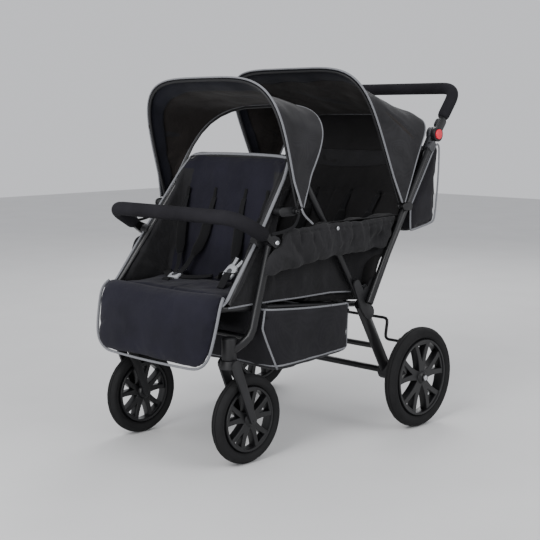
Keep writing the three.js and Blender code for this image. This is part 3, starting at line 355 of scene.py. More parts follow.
def frames_along(path):
    """Tangent and two side vectors at each point, carried along without twist."""
    count = len(path)
    tangents = []
    for i in range(count):
        ahead = path[min(i + 1, count - 1)] - path[max(i - 1, 0)]
        tangents.append(ahead.normalized())
    first = tangents[0]
    side = first.cross(Vector((0, 0, 1)))
    if side.length < 0.1:
        side = first.cross(Vector((0, 1, 0)))
    side.normalize()
    frames = []
    for tangent in tangents:
        side = (side - tangent * side.dot(tangent)).normalized()
        frames.append((tangent, side, tangent.cross(side)))
    return frames


def tube_mesh(name, path, radius, sides=12, flat=1.0, outward=None):
    """A round or oval tube; outward gives the direction of the thin axis at each point when flat is below 1."""
    points = []
    for i, (place, (tangent, side, up)) in enumerate(zip(path, frames_along(path))):
        if outward is not None:
            up = outward[i] - tangent * outward[i].dot(tangent)
            up.normalize()
            side = up.cross(tangent)
        reach = radius[i] if isinstance(radius, list) else radius
        for k in range(sides):
            angle = 2 * math.pi * k / sides
            points.append(place + side * (reach * math.cos(angle)) + up * (reach * flat * math.sin(angle)))
    faces = ring_faces(len(path), sides)
    faces.append(tuple(range(sides - 1, -1, -1)))
    faces.append(tuple(range((len(path) - 1) * sides, len(path) * sides)))
    return mesh_from(name, points, faces)


def smooth_path(corners, radius, steps=6):
    """Corner points joined by straight runs and round bends."""
    path = [corners[0]]
    for i in range(1, len(corners) - 1):
        into = (corners[i] - corners[i - 1]).normalized()
        out = (corners[i + 1] - corners[i]).normalized()
        turn = into.angle(out)
        if turn < 0.01:
            path.append(corners[i])
            continue
        reach = radius * math.tan(turn / 2)
        start, end = corners[i] - into * reach, corners[i] + out * reach
        for k in range(steps + 1):
            t = k / steps
            path.append(start.lerp(corners[i], t).lerp(corners[i].lerp(end, t), t))
    path.append(corners[-1])
    return path


def even(path, spacing):
    """The same line with points an even distance apart."""
    lengths = [0.0]
    for a, b in zip(path, path[1:]):
        lengths.append(lengths[-1] + (b - a).length)
    total = lengths[-1]
    count = max(2, round(total / spacing))
    out, j = [], 0
    for i in range(count + 1):
        goal = total * i / count
        while j < len(path) - 2 and lengths[j + 1] < goal:
            j += 1
        span = max(lengths[j + 1] - lengths[j], 1e-9)
        out.append(path[j].lerp(path[j + 1], min(1.0, (goal - lengths[j]) / span)))
    return out


def grid_sheet(name, grid, thickness, look):
    """A sheet of cloth through a grid of points [row][column]."""
    rows, columns = len(grid), len(grid[0])
    starts = [r * columns + c for r in range(rows - 1) for c in range(columns - 1)]
    faces = [(a, a + 1, a + columns + 1, a + columns) for a in starts]
    made = add_mesh(name, mesh_from(name, [p for row in grid for p in row], faces), look)
    subdivide(made)
    thicken(made, thickness)
    return applied(made)


def dress(name, look, bevel=0.0008, angle=38):
    """A smooth-edged stand-in for a hard CAD node."""
    source = frame["nodes"][name]
    mesh = source.data.copy()
    with editing(mesh) as shape:
        bmesh.ops.remove_doubles(shape, verts=shape.verts, dist=1e-6)
        bmesh.ops.dissolve_limit(shape, angle_limit=math.radians(1.0), verts=shape.verts, edges=shape.edges)
        bmesh.ops.recalc_face_normals(shape, faces=shape.faces)
    made = add_mesh(f"{name}_finish", mesh, look)
    if bevel:
        bevel_edges(made, bevel, 2, angle).use_clamp_overlap = True
        applied(made)
    smooth_shading(made.data)
    soften(made, angle)
    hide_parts(name)
    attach(made, source["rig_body"])
    return made


def puff(obj, pressure=4.0, cap=0.008, voxel=0.006, frames=18):
    """Inflates a pad with a short cloth simulation and limits how far a point may move."""
    mesh = obj.modifiers.new("remesh", "REMESH")
    mesh.mode = "VOXEL"
    mesh.voxel_size = voxel
    applied(obj)
    start = [v.co.copy() for v in obj.data.vertices]
    cloth = obj.modifiers.new("cloth", "CLOTH")
    cloth.settings.use_pressure = True
    cloth.settings.uniform_pressure_force = pressure
    cloth.settings.effector_weights.gravity = 0
    cloth.settings.quality = 4
    cloth.point_cache.frame_start = 1
    cloth.point_cache.frame_end = frames + 2
    for i in range(1, frames + 1):
        bpy.context.scene.frame_set(i)
    applied(obj)
    bpy.context.scene.frame_set(1)
    for vertex, before in zip(obj.data.vertices, start):
        move = vertex.co - before
        if move.length > cap:
            vertex.co = before + move * (cap / move.length)
    subdivide(obj)
    applied(obj)
    smooth_shading(obj.data)
    return obj


def moved_along_normals(obj, distance):
    """Moves each point along its normal by distance(places), in metres."""
    places, normals = spots(obj)
    places = places + normals * distance(places)[:, None]
    obj.data.vertices.foreach_set("co", places.ravel())
    obj.data.update()
    return obj


def spots(obj):
    """Places and normals of a mesh as arrays."""
    count = len(obj.data.vertices)
    places, normals = np.empty(count * 3), np.empty(count * 3)
    obj.data.vertices.foreach_get("co", places)
    obj.data.vertices.foreach_get("normal", normals)
    return places.reshape(-1, 3), normals.reshape(-1, 3)


def press(obj, lines, depth, width, taper=False):
    """Moves points near the lines along their normals: below 0 sews a seam in, above 0 raises a fold."""
    def distance(places):
        total = np.zeros(len(places))
        for line in lines:
            run_total = sum((b - a).length for a, b in zip(line, line[1:]))
            done = 0.0
            for a, b in zip(line, line[1:]):
                start, run = np.array(a), np.array(b - a)
                length = max((b - a).length, 1e-6)
                share = np.clip(((places - start) @ run) / (length * length), 0, 1)
                away = np.linalg.norm(places - (start + share[:, None] * run), axis=1)
                near = np.exp(-((away / width) ** 2))
                if taper:
                    whole = (done + share * length) / run_total
                    near = near * np.sin(np.pi * np.clip(whole, 0, 1)) ** 0.7
                total = np.maximum(total, near)
                done += length
        return total * depth

    return moved_along_normals(obj, distance)


def fold(obj, a, b, width, height):
    """One fold from a to b that runs out at both ends; width and height in millimetres."""
    press(obj, [[a, b]], height / 1000, width / 1000, taper=True)


def crumple(obj, amount, size, seed, stretch=(1, 1, 1), where=None):
    """Moves points along their normals by smooth noise; where(place) gives the share at a place."""
    offset = Vector((seed * 3.1, seed * 1.7, seed * 2.3))

    def distance(places):
        moved = np.empty(len(places))
        for i, place in enumerate(places):
            spot = Vector((place[0] * stretch[0], place[1] * stretch[1], place[2] * stretch[2])) / size
            share = where(place) if where else 1.0
            moved[i] = (noise.noise(spot + offset) + 0.5 * noise.noise(spot * 2.1 + offset)) * share
        return moved * amount

    return moved_along_normals(obj, distance)


def grid_normals(grid, facing):
    rows, columns = len(grid), len(grid[0])
    out = []
    for r in range(rows):
        line = []
        for c in range(columns):
            across = grid[r][min(c + 1, columns - 1)] - grid[r][max(c - 1, 0)]
            along = grid[min(r + 1, rows - 1)][c] - grid[max(r - 1, 0)][c]
            line.append(across.cross(along).normalized())
        out.append(line)
    if out[rows // 2][columns // 2].dot(facing) < 0:
        out = [[-n for n in line] for line in out]
    return out


def ruffle(grid, amount, size, seed, facing, stretch=(1, 1, 1), edge=0.12):
    """Wrinkles inside a grid of points; its edges stay where they are."""
    rows, columns = len(grid), len(grid[0])
    normals = grid_normals(grid, facing)
    offset = Vector((seed * 2.7, seed * 1.3, seed * 3.9))
    out = []
    for r in range(rows):
        line = []
        for c in range(columns):
            u, v = c / (columns - 1), r / (rows - 1)
            fade = min(1, min(u, 1 - u) / edge) * min(1, min(v, 1 - v) / edge)
            p = grid[r][c]
            spot = Vector((p.x * stretch[0], p.y * stretch[1], p.z * stretch[2])) / size
            value = noise.noise(spot + offset) + 0.5 * noise.noise(spot * 2.3 + offset)
            line.append(p + normals[r][c] * (value * amount * fade))
        out.append(line)
    return out


def padded_grid(name, grid, front, back, look, facing, body=None):
    """Closed form whose two faces stand off a grid by front(u, v) and back(u, v)."""
    rows, columns = len(grid), len(grid[0])
    normals = grid_normals(grid, facing)
    points, faces = [], []
    for sign, depth in ((1, front), (-1, back)):
        for r in range(rows):
            for c in range(columns):
                u, v = 2 * c / (columns - 1) - 1, r / (rows - 1)
                points.append(grid[r][c] + normals[r][c] * (sign * depth(u, v)))
    size = rows * columns
    for r in range(rows - 1):
        for c in range(columns - 1):
            a = r * columns + c
            faces.append((a, a + 1, a + columns + 1, a + columns))
            faces.append((size + a, size + a + columns, size + a + columns + 1, size + a + 1))
    rim = list(range(columns)) + [r * columns + columns - 1 for r in range(1, rows)]
    rim += [(rows - 1) * columns + c for c in range(columns - 2, -1, -1)]
    rim += [r * columns for r in range(rows - 2, 0, -1)]
    for a, b in zip(rim, rim[1:] + rim[:1]):
        faces.append((a, size + a, size + b, b))
    mesh = mesh_from(name, points, faces)
    tidy(mesh)
    return add_mesh(name, mesh, look, body)


def crown(edge, middle, across=4, along=4):
    return lambda u, v: (edge + (middle - edge) * (1 - abs(u) ** across) * (1 - abs(2 * v - 1) ** along)) / 1000


def rounded(points, times=3, closed=False):
    """Corner cutting: turns a few points into a smooth line."""
    line = list(points)
    for _ in range(times):
        pairs = list(zip(line, line[1:] + line[:1])) if closed else list(zip(line, line[1:]))
        made = [] if closed else [line[0]]
        for a, b in pairs:
            made += [a.lerp(b, 0.25), a.lerp(b, 0.75)]
        if not closed:
            made.append(line[-1])
        line = made
    return line


def loft(name, loops, look, body=None):
    """Closed skin through equal loops of points, with both ends closed."""
    count = len(loops[0])
    points = [p for loop in loops for p in loop]
    faces = ring_faces(len(loops), count)
    for first in (0, (len(loops) - 1) * count):
        middle = sum((points[first + k] for k in range(count)), Vector()) / count
        points.append(middle)
        faces += [(first + k, first + (k + 1) % count, len(points) - 1) for k in range(count)]
    mesh = mesh_from(name, points, faces)
    tidy(mesh)
    return add_mesh(name, mesh, look, body)


def piping(name, path, outward, body=None, width=0.0034, flat=0.7, look="piping"):
    mesh = tube_mesh(name, path, width, sides=10, flat=flat, outward=outward)
    return add_mesh(name, mesh, look, body)


def binding(name, corners, times, outward, spacing=0.01, **style):
    """Piping along a line of corners, smoothed and evenly spaced."""
    line = even(rounded(corners, times), spacing)
    return piping(name, line, [outward] * len(line), **style)


def ribbon(name, corners, facing, width, look="strap", body="chassis", thick=0.0017, times=3):
    """Flat webbing along a line of corners, with its face towards facing."""
    path = even(rounded([at(*c) for c in corners], times), 0.009)
    outward = [facing(p) if callable(facing) else facing for p in path]
    mesh = tube_mesh(name, path, width / 2, sides=10, flat=2 * thick / width, outward=outward)
    return add_mesh(name, mesh, look, body)


def lathe(name, profile, centre, segments, look, body, lug=None):
    """Turns (radius, x) points about the X axis through centre; lug(k, i) changes a radius."""
    points, faces = [], []
    count = len(profile)
    for k in range(segments):
        angle = 2 * math.pi * k / segments
        for i, (radius, x) in enumerate(profile):
            reach = radius + (lug(k, i) if lug else 0)
            points.append(centre + Vector((x, reach * math.cos(angle), reach * math.sin(angle))) / 1000)
    for k in range(segments):
        j = (k + 1) % segments
        for i in range(count):
            m = (i + 1) % count
            faces.append((k * count + i, k * count + m, j * count + m, j * count + i))
    mesh = mesh_from(name, points, faces)
    tidy(mesh)
    return add_mesh(name, mesh, look, body)


# Lines of the frame in the side view, in millimetres

def hoop_y(z):
    return -84 + 295 * (z - 463) / 390


def hoop_x(z):
    return 241 - 36 * (z - 463) / 390


def tube_y(z):
    return 556 + 237 * (z - 556) / 359


def rail_z(y):
    return 455 - 55 * (y + 108) / 573


# Hoods

def bow_profile(bow, skirt, columns):
    """Half width, then along-bow height of each point of one bow, from one foot to the other."""
    half, base, straight, height, power, lean = bow
    rise = height - straight
    line = []
    low = 6
    for i in range(low):
        t = i / low
        line.append((base + (half - base) * t, skirt + (straight - skirt) * t))
    for i in range(columns + 1):
        angle = math.pi * i / columns
        cosine, sine = math.cos(angle), math.sin(angle)
        x = half * math.copysign(abs(cosine) ** (2 / power), cosine)
        line.append((x, straight + rise * max(sine, 0.0) ** (2 / power)))
    for i in range(low - 1, -1, -1):
        t = i / low
        line.append((-(base + (half - base) * t), skirt + (straight - skirt) * t))
    return line


def bow_line(bow, pivot, skirt, columns=48, spacing=0.013):
    lean = math.radians(bow[5])
    flat = [at(x, pivot[0] + t * math.sin(lean), pivot[1] + t * math.cos(lean))
            for x, t in bow_profile(bow, skirt, columns)]
    return even(flat, spacing)


def resampled(line, count):
    """count points spread along a line of points."""
    total = len(line) - 1
    out = []
    for i in range(count):
        place = i * total / (count - 1)
        k = min(int(place), total - 1)
        out.append(line[k].lerp(line[k + 1], place - k))
    return out


def hood(front, rear, pivot, skirt, sag, rows=14):
    """A curved sheet between two bows that drops behind the front one and dips between them."""
    first = bow_line(front, pivot, skirt)
    last = resampled(bow_line(rear, pivot, skirt), len(first))
    grid = []
    for r in range(rows + 1):
        share = r / rows
        early = share ** 0.65
        dip = 4 * early * (1 - early) * sag / 1000
        line = []
        for a, b in zip(first, last):
            place = a.lerp(b, share)
            topness = max(0.0, (place.z * 1000 - pivot[1]) / front[3] - 0.5)
            line.append(Vector((place.x, place.y, place.z - dip * topness)))
        grid.append(line)
    return grid


# Pivots of the hoods as (y, z). A bow is half width at the top and at the foot, straight height, full height,
# power of the corner's curve, and lean in degrees
FRONT_PIVOT = (155, 706)
REAR_PIVOT = (622, 694)
FRONT_BOW = (288, 300, 88, 390, 4.2, -15)
FRONT_REAR = (277, 296, 120, 352, 3, 31)
REAR_BOW = (296, 302, 101, 470, 5.2, -25.5)
REAR_SEAM = (292, 302, 195, 322, 5, 28)
# How far out the bow wires' feet lie, and the radius of their eyes and of the holes in them
FRONT_PLANE, REAR_PLANE, EYE, EYE_HOLE = 279.15, 285.85, 8, 4.35
UP = Vector((0, 0, 1))


def outward_of(path, centre):
    return [(p - centre).normalized() for p in path]


def build_hood(prefix, grid, pivot, node_name, seed, folds):
    middle = at(0, pivot[0], pivot[1] + 130)
    grid = ruffle(grid, 0.009, 0.11, seed, UP, stretch=(1, 1, 1.4))
    cloth = grid_sheet(f"{prefix}_cloth", grid, 0.0022, "canopy")
    for a, b, width, height in folds:
        fold(cloth, at(*a), at(*b), width, height)
    cloth.data.materials.append(looks["inside"])
    heart = at(0, pivot[0], pivot[1] + 200)
    for face in cloth.data.polygons:
        face.material_index = 1 if face.normal.dot(heart - face.center) > 0 else 0
    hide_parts(node_name)
    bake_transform(cloth)
    for edge, line in (("front", grid[0]), ("rear", grid[-1])):
        path = even(line, 0.008)
        tape = piping(f"{prefix}_{edge}_piping", path, outward_of(path, middle))
        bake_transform(tape)
    band = []
    for r in range(5):
        line = []
        for c, edge in enumerate(grid[0]):
            column = [row[c] for row in grid]
            length = sum((b - a).length for a, b in zip(column, column[1:]))
            share = min(0.056 / max(length, 1e-6), 0.8) * r / 4 * (len(grid) - 1)
            k = min(int(share), len(grid) - 2)
            place = column[k].lerp(column[k + 1], share - k)
            line.append(place + (middle - place).normalized() * 0.0045)
        band.append(line)
    hem = grid_sheet(f"{prefix}_hem", band, 0.0014, "hem")
    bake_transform(hem)


def bow_wire(prefix, bow, pivot, plane, body):
    """The bow in the hood's front hem, with an eye round each pivot pin."""
    half, _, straight, height, power, lean = bow
    line = bow_line((plane, plane, straight, height - (half - plane), power, lean), pivot, 6, spacing=0.012)
    wire = add_mesh(f"{prefix}_bow_wire", tube_mesh(f"{prefix}_bow_wire", line, 0.004, sides=12), "plastic", body)
    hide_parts(f"{prefix}_front_bow")
    ring = [(EYE_HOLE, -4), (EYE - 1, -4), (EYE, -3), (EYE, 3), (EYE - 1, 4), (EYE_HOLE, 4)]
    for word, side in SIDES.items():
        lathe(f"{prefix}_bow_eye_{word}", ring, at(side * plane, *pivot), 28, "plastic", body)


FRONT_FOLDS = [((284, 150, 1010), (280, 330, 985), 16, 3.0), ((284, 120, 950), (281, 300, 900), 14, -2.5),
               ((270, 90, 1085), (268, 300, 1030), 20, 3.5), ((-284, 150, 1000), (-280, 320, 985), 16, 3.0),
               ((-284, 120, 930), (-281, 290, 900), 14, -2.5), ((-120, 60, 1110), (90, 290, 1005), 24, -3.0),
               ((160, 110, 1090), (40, 310, 1000), 22, 3.0),
               ((-286, 60, 930), (-281, 240, 985), 9, 5.0), ((-287, 80, 905), (-282, 230, 925), 8, -4.5),
               ((-288, 70, 990), (-280, 220, 1030), 9, -4.5), ((-291, 110, 830), (-286, 240, 860), 9, 4.0)]
REAR_FOLDS = [((294, 499, 1014), (291, 705, 890), 6, -3.5), ((294, 505, 1022), (291, 715, 900), 9, 3.0),
              ((-294, 499, 1014), (-291, 705, 890), 6, -3.5), ((-294, 505, 1022), (-291, 715, 900), 9, 3.0),
              ((292, 560, 1040), (291, 740, 960), 12, 2.5), ((293, 540, 900), (292, 680, 830), 12, 2.5),
              ((-150, 480, 1108), (60, 700, 1000), 24, -3.0), ((190, 500, 1100), (60, 720, 990), 22, 3.0)]
build_hood("front_canopy", hood(FRONT_BOW, FRONT_REAR, FRONT_PIVOT, 14, 46), FRONT_PIVOT,
           "front_canopy", 3, FRONT_FOLDS)
build_hood("rear_canopy", hood(REAR_BOW, REAR_SEAM, REAR_PIVOT, 14, 56), REAR_PIVOT,
           "rear_canopy", 5, REAR_FOLDS)

bow_wire("front_canopy", FRONT_BOW, FRONT_PIVOT, FRONT_PLANE, "front_hood_bow")
bow_wire("rear_canopy", REAR_BOW, REAR_PIVOT, REAR_PLANE, "rear_hood_bow")

# The cloth that closes the rear hood, from its rear seam down to the backrest
seam_lean = math.radians(REAR_SEAM[5])
arch = [at(x, REAR_PIVOT[0] + t * math.sin(seam_lean), REAR_PIVOT[1] + t * math.cos(seam_lean))
        for x, t in bow_profile(REAR_SEAM, 14, 48)[6:-6]]
flap_grid = []
for r in range(9):
    share = r / 8
    line = []
    for place in arch:
        foot = at(place.x * 960, 733, 858)
        spot = place.lerp(foot, share)
        spot.y += 0.012 * math.sin(math.pi * share) * (1 - abs(place.x / 0.3) ** 4)
        line.append(spot)
    flap_grid.append(line)
flap_grid = ruffle(flap_grid, 0.022, 0.07, 8, Vector((0, -1, 0)), stretch=(1.4, 1, 0.6))
flap = grid_sheet("rear_canopy_back", flap_grid, 0.0022, "lining")
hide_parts("rear_canopy")
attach(flap, "chassis")

# Piping that runs on past the front hood's pivots
for word, side in SIDES.items():
    binding(f"front_canopy_tail_{word}", [at(side * 300, 150, 716), at(side * 302, 158, 697), at(side * 302, 196, 670)],
            2, Vector((side, 0, 0.2)), spacing=0.006, body="chassis")


# Front seat: one cover from hoop to hoop, its sides wrapped round the tubes

def backrest_y(z):
    return 112 + 93 * (z - 484) / 369


def bucket_grid():
    grid = []
    for i in range(30):
        z = 466 + (858 - 466) * i / 29
        hx, hy, by = hoop_x(z), hoop_y(z), backrest_y(z)
        if z > 825:
            hx -= 14 * ((z - 825) / 33) ** 2
        flare = 5 * clamped((z - 500) / 150)
        half = [(hx + 10.5 + flare, hy + 4), (hx + 9 + flare, hy - 7), (hx + 1 + flare, hy - 10.5),
                (hx - 8 + flare / 2, hy - 7)]
        corner = (hx - 13, max(by - 14, hy - 9))
        for k in range(1, 6):
            t = k / 6
            belly = 5 * math.sin(math.pi * t)
            half.append((half[3][0] * (1 - t) + corner[0] * t + belly, half[3][1] * (1 - t) + corner[1] * t))
        half += [corner, (hx - 24, max(by - 2, hy - 9))]
        inner = half[-1][0]
        half += [(inner * (1 - k / 12), by) for k in range(1, 12)]
        line = [at(x, y, z) for x, y in half] + [at(0, by, z)] + [at(-x, y, z) for x, y in reversed(half)]
        grid.append(line)
    for _ in range(2):
        for line in grid:
            line[1:-1] = [(a + b * 2 + c) / 4 for a, b, c in zip(line, line[1:], line[2:])]
    return grid


def bucket_front(u, v):
    wrap = max(0.0, (abs(u) - 0.84) / 0.16)
    return (3 + 7 * (1 - abs(u) ** 5) * (1 - abs(2 * v - 1) ** 6) - 1.0 * wrap) / 1000


bucket = padded_grid("front_backrest_cover", bucket_grid(), bucket_front, crown(4, 9, 6, 6), "seat",
                     Vector((0, -1, 0.2)), "chassis")
puff(bucket, cap=0.006)
crumple(bucket, 0.0022, 0.06, 11, stretch=(1, 1, 0.6))
seams = [[at(side * (hoop_x(z) - 17), backrest_y(z) - 14, z) for z in (490, 580, 680, 780, 840)] for side in (-1, 1)]
press(bucket, seams, -0.003, 0.005)
press(bucket, [[at(side * a, backrest_y(700) - 10, 694), at(side * b, backrest_y(520) - 10, 520)]
               for side in (-1, 1) for a, b in ((118, 112), (30, 44), (196, 176))], -0.0022, 0.012, taper=True)
bucket.data.materials.append(looks["side"])
for face in bucket.data.polygons:
    z = face.center.z * 1000
    width = abs(face.center.x) * 1000
    wing = width > hoop_x(z) - 38 and face.center.y * 1000 < backrest_y(z) - 24
    outside = z < 812 and (width > hoop_x(z) - 17 or wing)
    face.material_index = 1 if outside or face.normal.y > 0.5 else 0
press(bucket, [[at(-196, backrest_y(700) - 8, 700), at(196, backrest_y(706) - 8, 706)]], -0.003, 0.006)
for a, b, height in (((226, -30, 590), (208, 66, 530), 4), ((224, 10, 620), (212, 96, 590), -4),
                     ((222, -20, 540), (206, 60, 500), 4), ((218, 50, 690), (204, 120, 640), -3)):
    press(bucket, [[at(side * a[0], *a[1:]), at(side * b[0], *b[1:])] for side in (-1, 1)], height / 1000, 0.013,
          taper=True)
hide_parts("front_backrest")

cushion_grid = []
for i in range(14):
    y = -92 + (124 + 92) * i / 13
    half = 226 - 6 * (y + 92) / 216
    dip = -5 * math.sin(math.pi * min(1, (y + 92) / 150))
    cushion_grid.append([at(half * (-1 + 2 * k / 28), y, 474 + dip) for k in range(29)])
cushion = padded_grid("front_seat_cover", cushion_grid, crown(4, 11, 6, 4), crown(5, 8), "seat", UP, "chassis")
puff(cushion, cap=0.007)
crumple(cushion, 0.003, 0.07, 13)
press(cushion, [[at(0, -84, 484), at(0, 100, 480)]], -0.004, 0.006)
press(cushion, [[at(side * 60, -60, 482), at(side * 170, 60, 482)] for side in (-1, 1)], -0.002, 0.02, taper=True)
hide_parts("front_seat_sling")


# Front roll and leg rest, one pad that hangs from the seat's front edge

def leg_rest_grid():
    rows = [(-84, 474, 226), (-91, 482, 234), (-100, 485, 243), (-111, 479, 249), (-120, 466, 252), (-126, 448, 253),
            (-131, 425, 252), (-137, 398, 250), (-143, 370, 247), (-148, 344, 243), (-151, 324, 237),
            (-153, 308, 226), (-154.5, 296, 208), (-155, 289, 186)]
    grid = []
    for y, z, half in rows:
        line = []
        for i in range(33):
            u = -1 + 2 * i / 32
            belly = 7 * (1 - u * u) * clamped((482 - z) / 60)
            droop = 4 * (1 - u * u) if z > 470 else 0
            line.append(at(u * half, y - belly, z - droop))
        grid.append(line)
    return grid


rest_grid = leg_rest_grid()
leg_rest = padded_grid("leg_rest_cover", rest_grid, crown(5, 9, 6, 6), crown(4, 6), "seat", Vector((0, -1, 0.2)))
puff(leg_rest, cap=0.006)
crumple(leg_rest, 0.003, 0.1, 21, stretch=(0.7, 1, 1))
press(leg_rest, [[at(0, -118, 474), at(0, -138, 425), at(0, -150, 360), at(0, -160, 296)]], -0.0026, 0.005)
press(leg_rest, [[at(-215, -132, 444), at(0, -140, 440), at(215, -132, 444)]], -0.0025, 0.018)
press(leg_rest, [[at(-120, -142, 410), at(-60, -158, 320)], [at(130, -140, 420), at(70, -156, 330)]], 0.002, 0.02,
      taper=True)
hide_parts("leg_rest_pad")
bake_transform(leg_rest)

edge_path = [row[-1] for row in rest_grid[2:]] + list(reversed(rest_grid[-1]))[1:]
edge_path += [r[0] for r in reversed(rest_grid[2:])][1:]
edge_path = even(edge_path, 0.01)
for _ in range(4):
    inside = [(a + b * 2 + c) / 4 for a, b, c in zip(edge_path, edge_path[1:], edge_path[2:])]
    edge_path = [edge_path[0]] + inside + [edge_path[-1]]
heart = at(0, -150, 385)
edge_path = [p + (p - heart).normalized() * 0.0022 + Vector((0, -0.0042, 0)) for p in edge_path]
rest_tape = piping("leg_rest_binding", edge_path, [Vector((0, -1, 0.1))] * len(edge_path), width=0.0036, flat=1.3)
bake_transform(rest_tape)

# Binding along the hoop and over its top bar
for word, side in SIDES.items():
    line = [at(side * 252, -116, 466), at(side * (hoop_x(478) + 4), hoop_y(478) - 13, 478)]
    for z in range(500, 830, 30):
        flare = clamped((z - 500) / 150)
        line.append(at(side * (hoop_x(z) + 4 + 10 * flare), hoop_y(z) - 13 + 4 * flare, z))
    line += [at(side * (hoop_x(844) + 2), hoop_y(844) - 8, 846)]
    binding(f"front_seat_binding_{word}", line, 2, Vector((side * 0.5, -0.8, 0.5)), body="chassis", width=0.005)
line = [at(-hoop_x(838) - 4, 200, 843), at(-192, 203, 860), at(192, 203, 860), at(hoop_x(838) + 4, 200, 843)]
binding("front_seat_top_binding", line, 3, Vector((0, -0.7, 0.7)), body="chassis", width=0.005)


# Rear seat

rear_seat_grid = []
for i in range(16):
    y = 230 + (520 - 230) * i / 15
    rear_seat_grid.append([at(240 * (-1 + 2 * k / 28), y, rail_z(y) + 27 - 4 * math.sin(math.pi * i / 15))
                           for k in range(29)])
rear_seat = padded_grid("rear_seat_cover", rear_seat_grid, crown(6, 13, 6, 4), crown(8, 12), "lining", UP, "chassis")
puff(rear_seat, cap=0.007)
crumple(rear_seat, 0.003, 0.07, 14)
press(rear_seat, [[at(0, 236, 452), at(0, 500, 428)]], -0.004, 0.006)
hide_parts("rear_seat_pad")

rear_back_grid = []
for i in range(26):
    z = 446 + (862 - 446) * i / 25
    y = tube_y(z) - 6 if z > 520 else tube_y(520) - 6 - (520 - z) * 0.35
    half = 277 + 6 * clamped((715 - z) / 25)
    rear_back_grid.append([at(half * (-1 + 2 * k / 32), y, z) for k in range(33)])
rear_back = padded_grid("rear_backrest_cover", rear_back_grid, crown(4, 12, 6, 6), crown(5, 9), "lining",
                        Vector((0, -1, 0.4)), "chassis")
puff(rear_back, cap=0.006)
crumple(rear_back, 0.003, 0.06, 12, stretch=(1, 1, 0.7))


def on_rear_back(x, z, lift=22):
    return at(x, tube_y(z) - lift, z)


smile = [on_rear_back(268 * u, 806 + 46 * u * u) for u in (-1, -0.75, -0.5, -0.25, 0, 0.25, 0.5, 0.75, 1)]
press(rear_back, [smile], -0.0045, 0.006)
press(rear_back, [[p - UP * 0.012 for p in smile]], 0.003, 0.010)
press(rear_back, [[on_rear_back(-268, 731), on_rear_back(268, 731)]], -0.0035, 0.005)
press(rear_back, [[on_rear_back(x, 731), on_rear_back(x * 0.96, 560)] for x in (-200, -80, 0, 80, 200)],
      -0.003, 0.006)
flap_rows = []
for r in range(7):
    line = []
    for k in range(41):
        u = -1 + k / 20
        low_z = 806 + 40 * abs(u) ** 2.4
        z = 860 + (low_z - 860) * r / 6
        line.append(at(270 * u, tube_y(z) - 22 - 6 * r / 6 * (1 - u ** 4), z))
    flap_rows.append(line)
flap_rows = ruffle(flap_rows, 0.006, 0.06, 18, Vector((0, -1, 0)), edge=0.3)
apron = grid_sheet("rear_backrest_flap", flap_rows, 0.003, "side")
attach(apron, "chassis")
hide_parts("rear_backrest")
binding("rear_backrest_binding", [at(-272, 733, 850), at(-262, 744, 865), at(262, 744, 865), at(272, 733, 850)], 3,
        Vector((0, -0.7, 0.7)), body="chassis", width=0.005, look="strap")


# Side cloths between the frame tubes, from the front hoop to the backrest

def side_cloth_grid(side):
    grid = []
    columns = 60
    lower = [(-89, 456), (60, 455), (211, 451), (346, 450), (520, 437)]
    for r in range(17):
        line = []
        for c in range(columns + 1):
            share = c / columns
            y = -89 + (515 + 89) * share
            base = next(a[1] + (b[1] - a[1]) * (y - a[0]) / (b[0] - a[0])
                        for a, b in zip(lower, lower[1:]) if y <= b[0] + 0.01)
            deep = clamped((y - 118) / 40)
            top = 606 + (662 - 606) * deep
            rise = min(r, 12) / 12
            z = base + (top - base) * rise
            out = max(0, r - 12) / 4 * deep
            x = 245.5 - 3 * clamped((y - 60) / 200) - 0.1 * (z - 456) + (280 - 222) * out
            z += 5 * math.sin(math.pi * out / 2)
            back = tube_y(z) + 2 if z > 556 else 558 - (556 - z) * 0.42
            front = hoop_y(z) + 2
            spot_y = front + (back - front) * share
            bulge = 3.0 * math.sin(math.pi * rise) * math.sin(math.pi * share)
            if r <= 12:
                x += 54 * max(0, (share - 0.84) / 0.16) ** 1.5 * clamped((z - 512) / 40)
            line.append(at(side * (x - bulge), spot_y, z))
        grid.append(line)
    return grid


for word, side in SIDES.items():
    facing = Vector((side, 0, 0))
    grid = ruffle(side_cloth_grid(side), 0.011, 0.06, 31, facing, stretch=(1, 1.3, 0.6), edge=0.05)
    cloth = grid_sheet(f"seat_side_cloth_{word}", grid, 0.002, "side")
    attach(cloth, "chassis")
    line = even(grid[0], 0.01)
    piping(f"seat_side_binding_{word}", line, [facing] * len(line), "chassis", width=0.0028)


# Side pouches outside the frame, gathered along the top

def pouch_grid(side):
    top = [(88, 652), (110, 659), (194, 668), (327, 666), (468, 665), (604, 670)]
    low = [(12, 537), (90, 541), (153, 547), (301, 563), (450, 567), (553, 571)]
    front = [(12, 537), (20, 565), (32, 592), (44, 603), (62, 609), (78, 618), (84, 634), (88, 652)]

    def on(line, share):
        place = share * (len(line) - 1)
        k = min(int(place), len(line) - 2)
        t = place - k
        return line[k][0] * (1 - t) + line[k + 1][0] * t, line[k][1] * (1 - t) + line[k + 1][1] * t

    grid = []
    for r in range(17):
        v = r / 16
        line = []
        for c in range(75):
            share = c / 74
            (ly, lz), (ty, tz) = on(low, share), on(top, share)
            y, z = ly + (ty - ly) * v, lz + (tz - lz) * v
            fy, fz = on(front, v)
            pull = max(0.0, 1 - share / 0.16) ** 1.5
            y += (fy - (low[0][0] + (top[0][0] - low[0][0]) * v)) * pull
            z += (fz - (low[0][1] + (top[0][1] - low[0][1]) * v)) * pull
            edge = (1 - abs(2 * v - 1) ** 4) * (1 - abs(2 * share - 1) ** 10)
            line.append(at(side * (284 + 3 * edge), y, z))
        grid.append(line)
    return grid


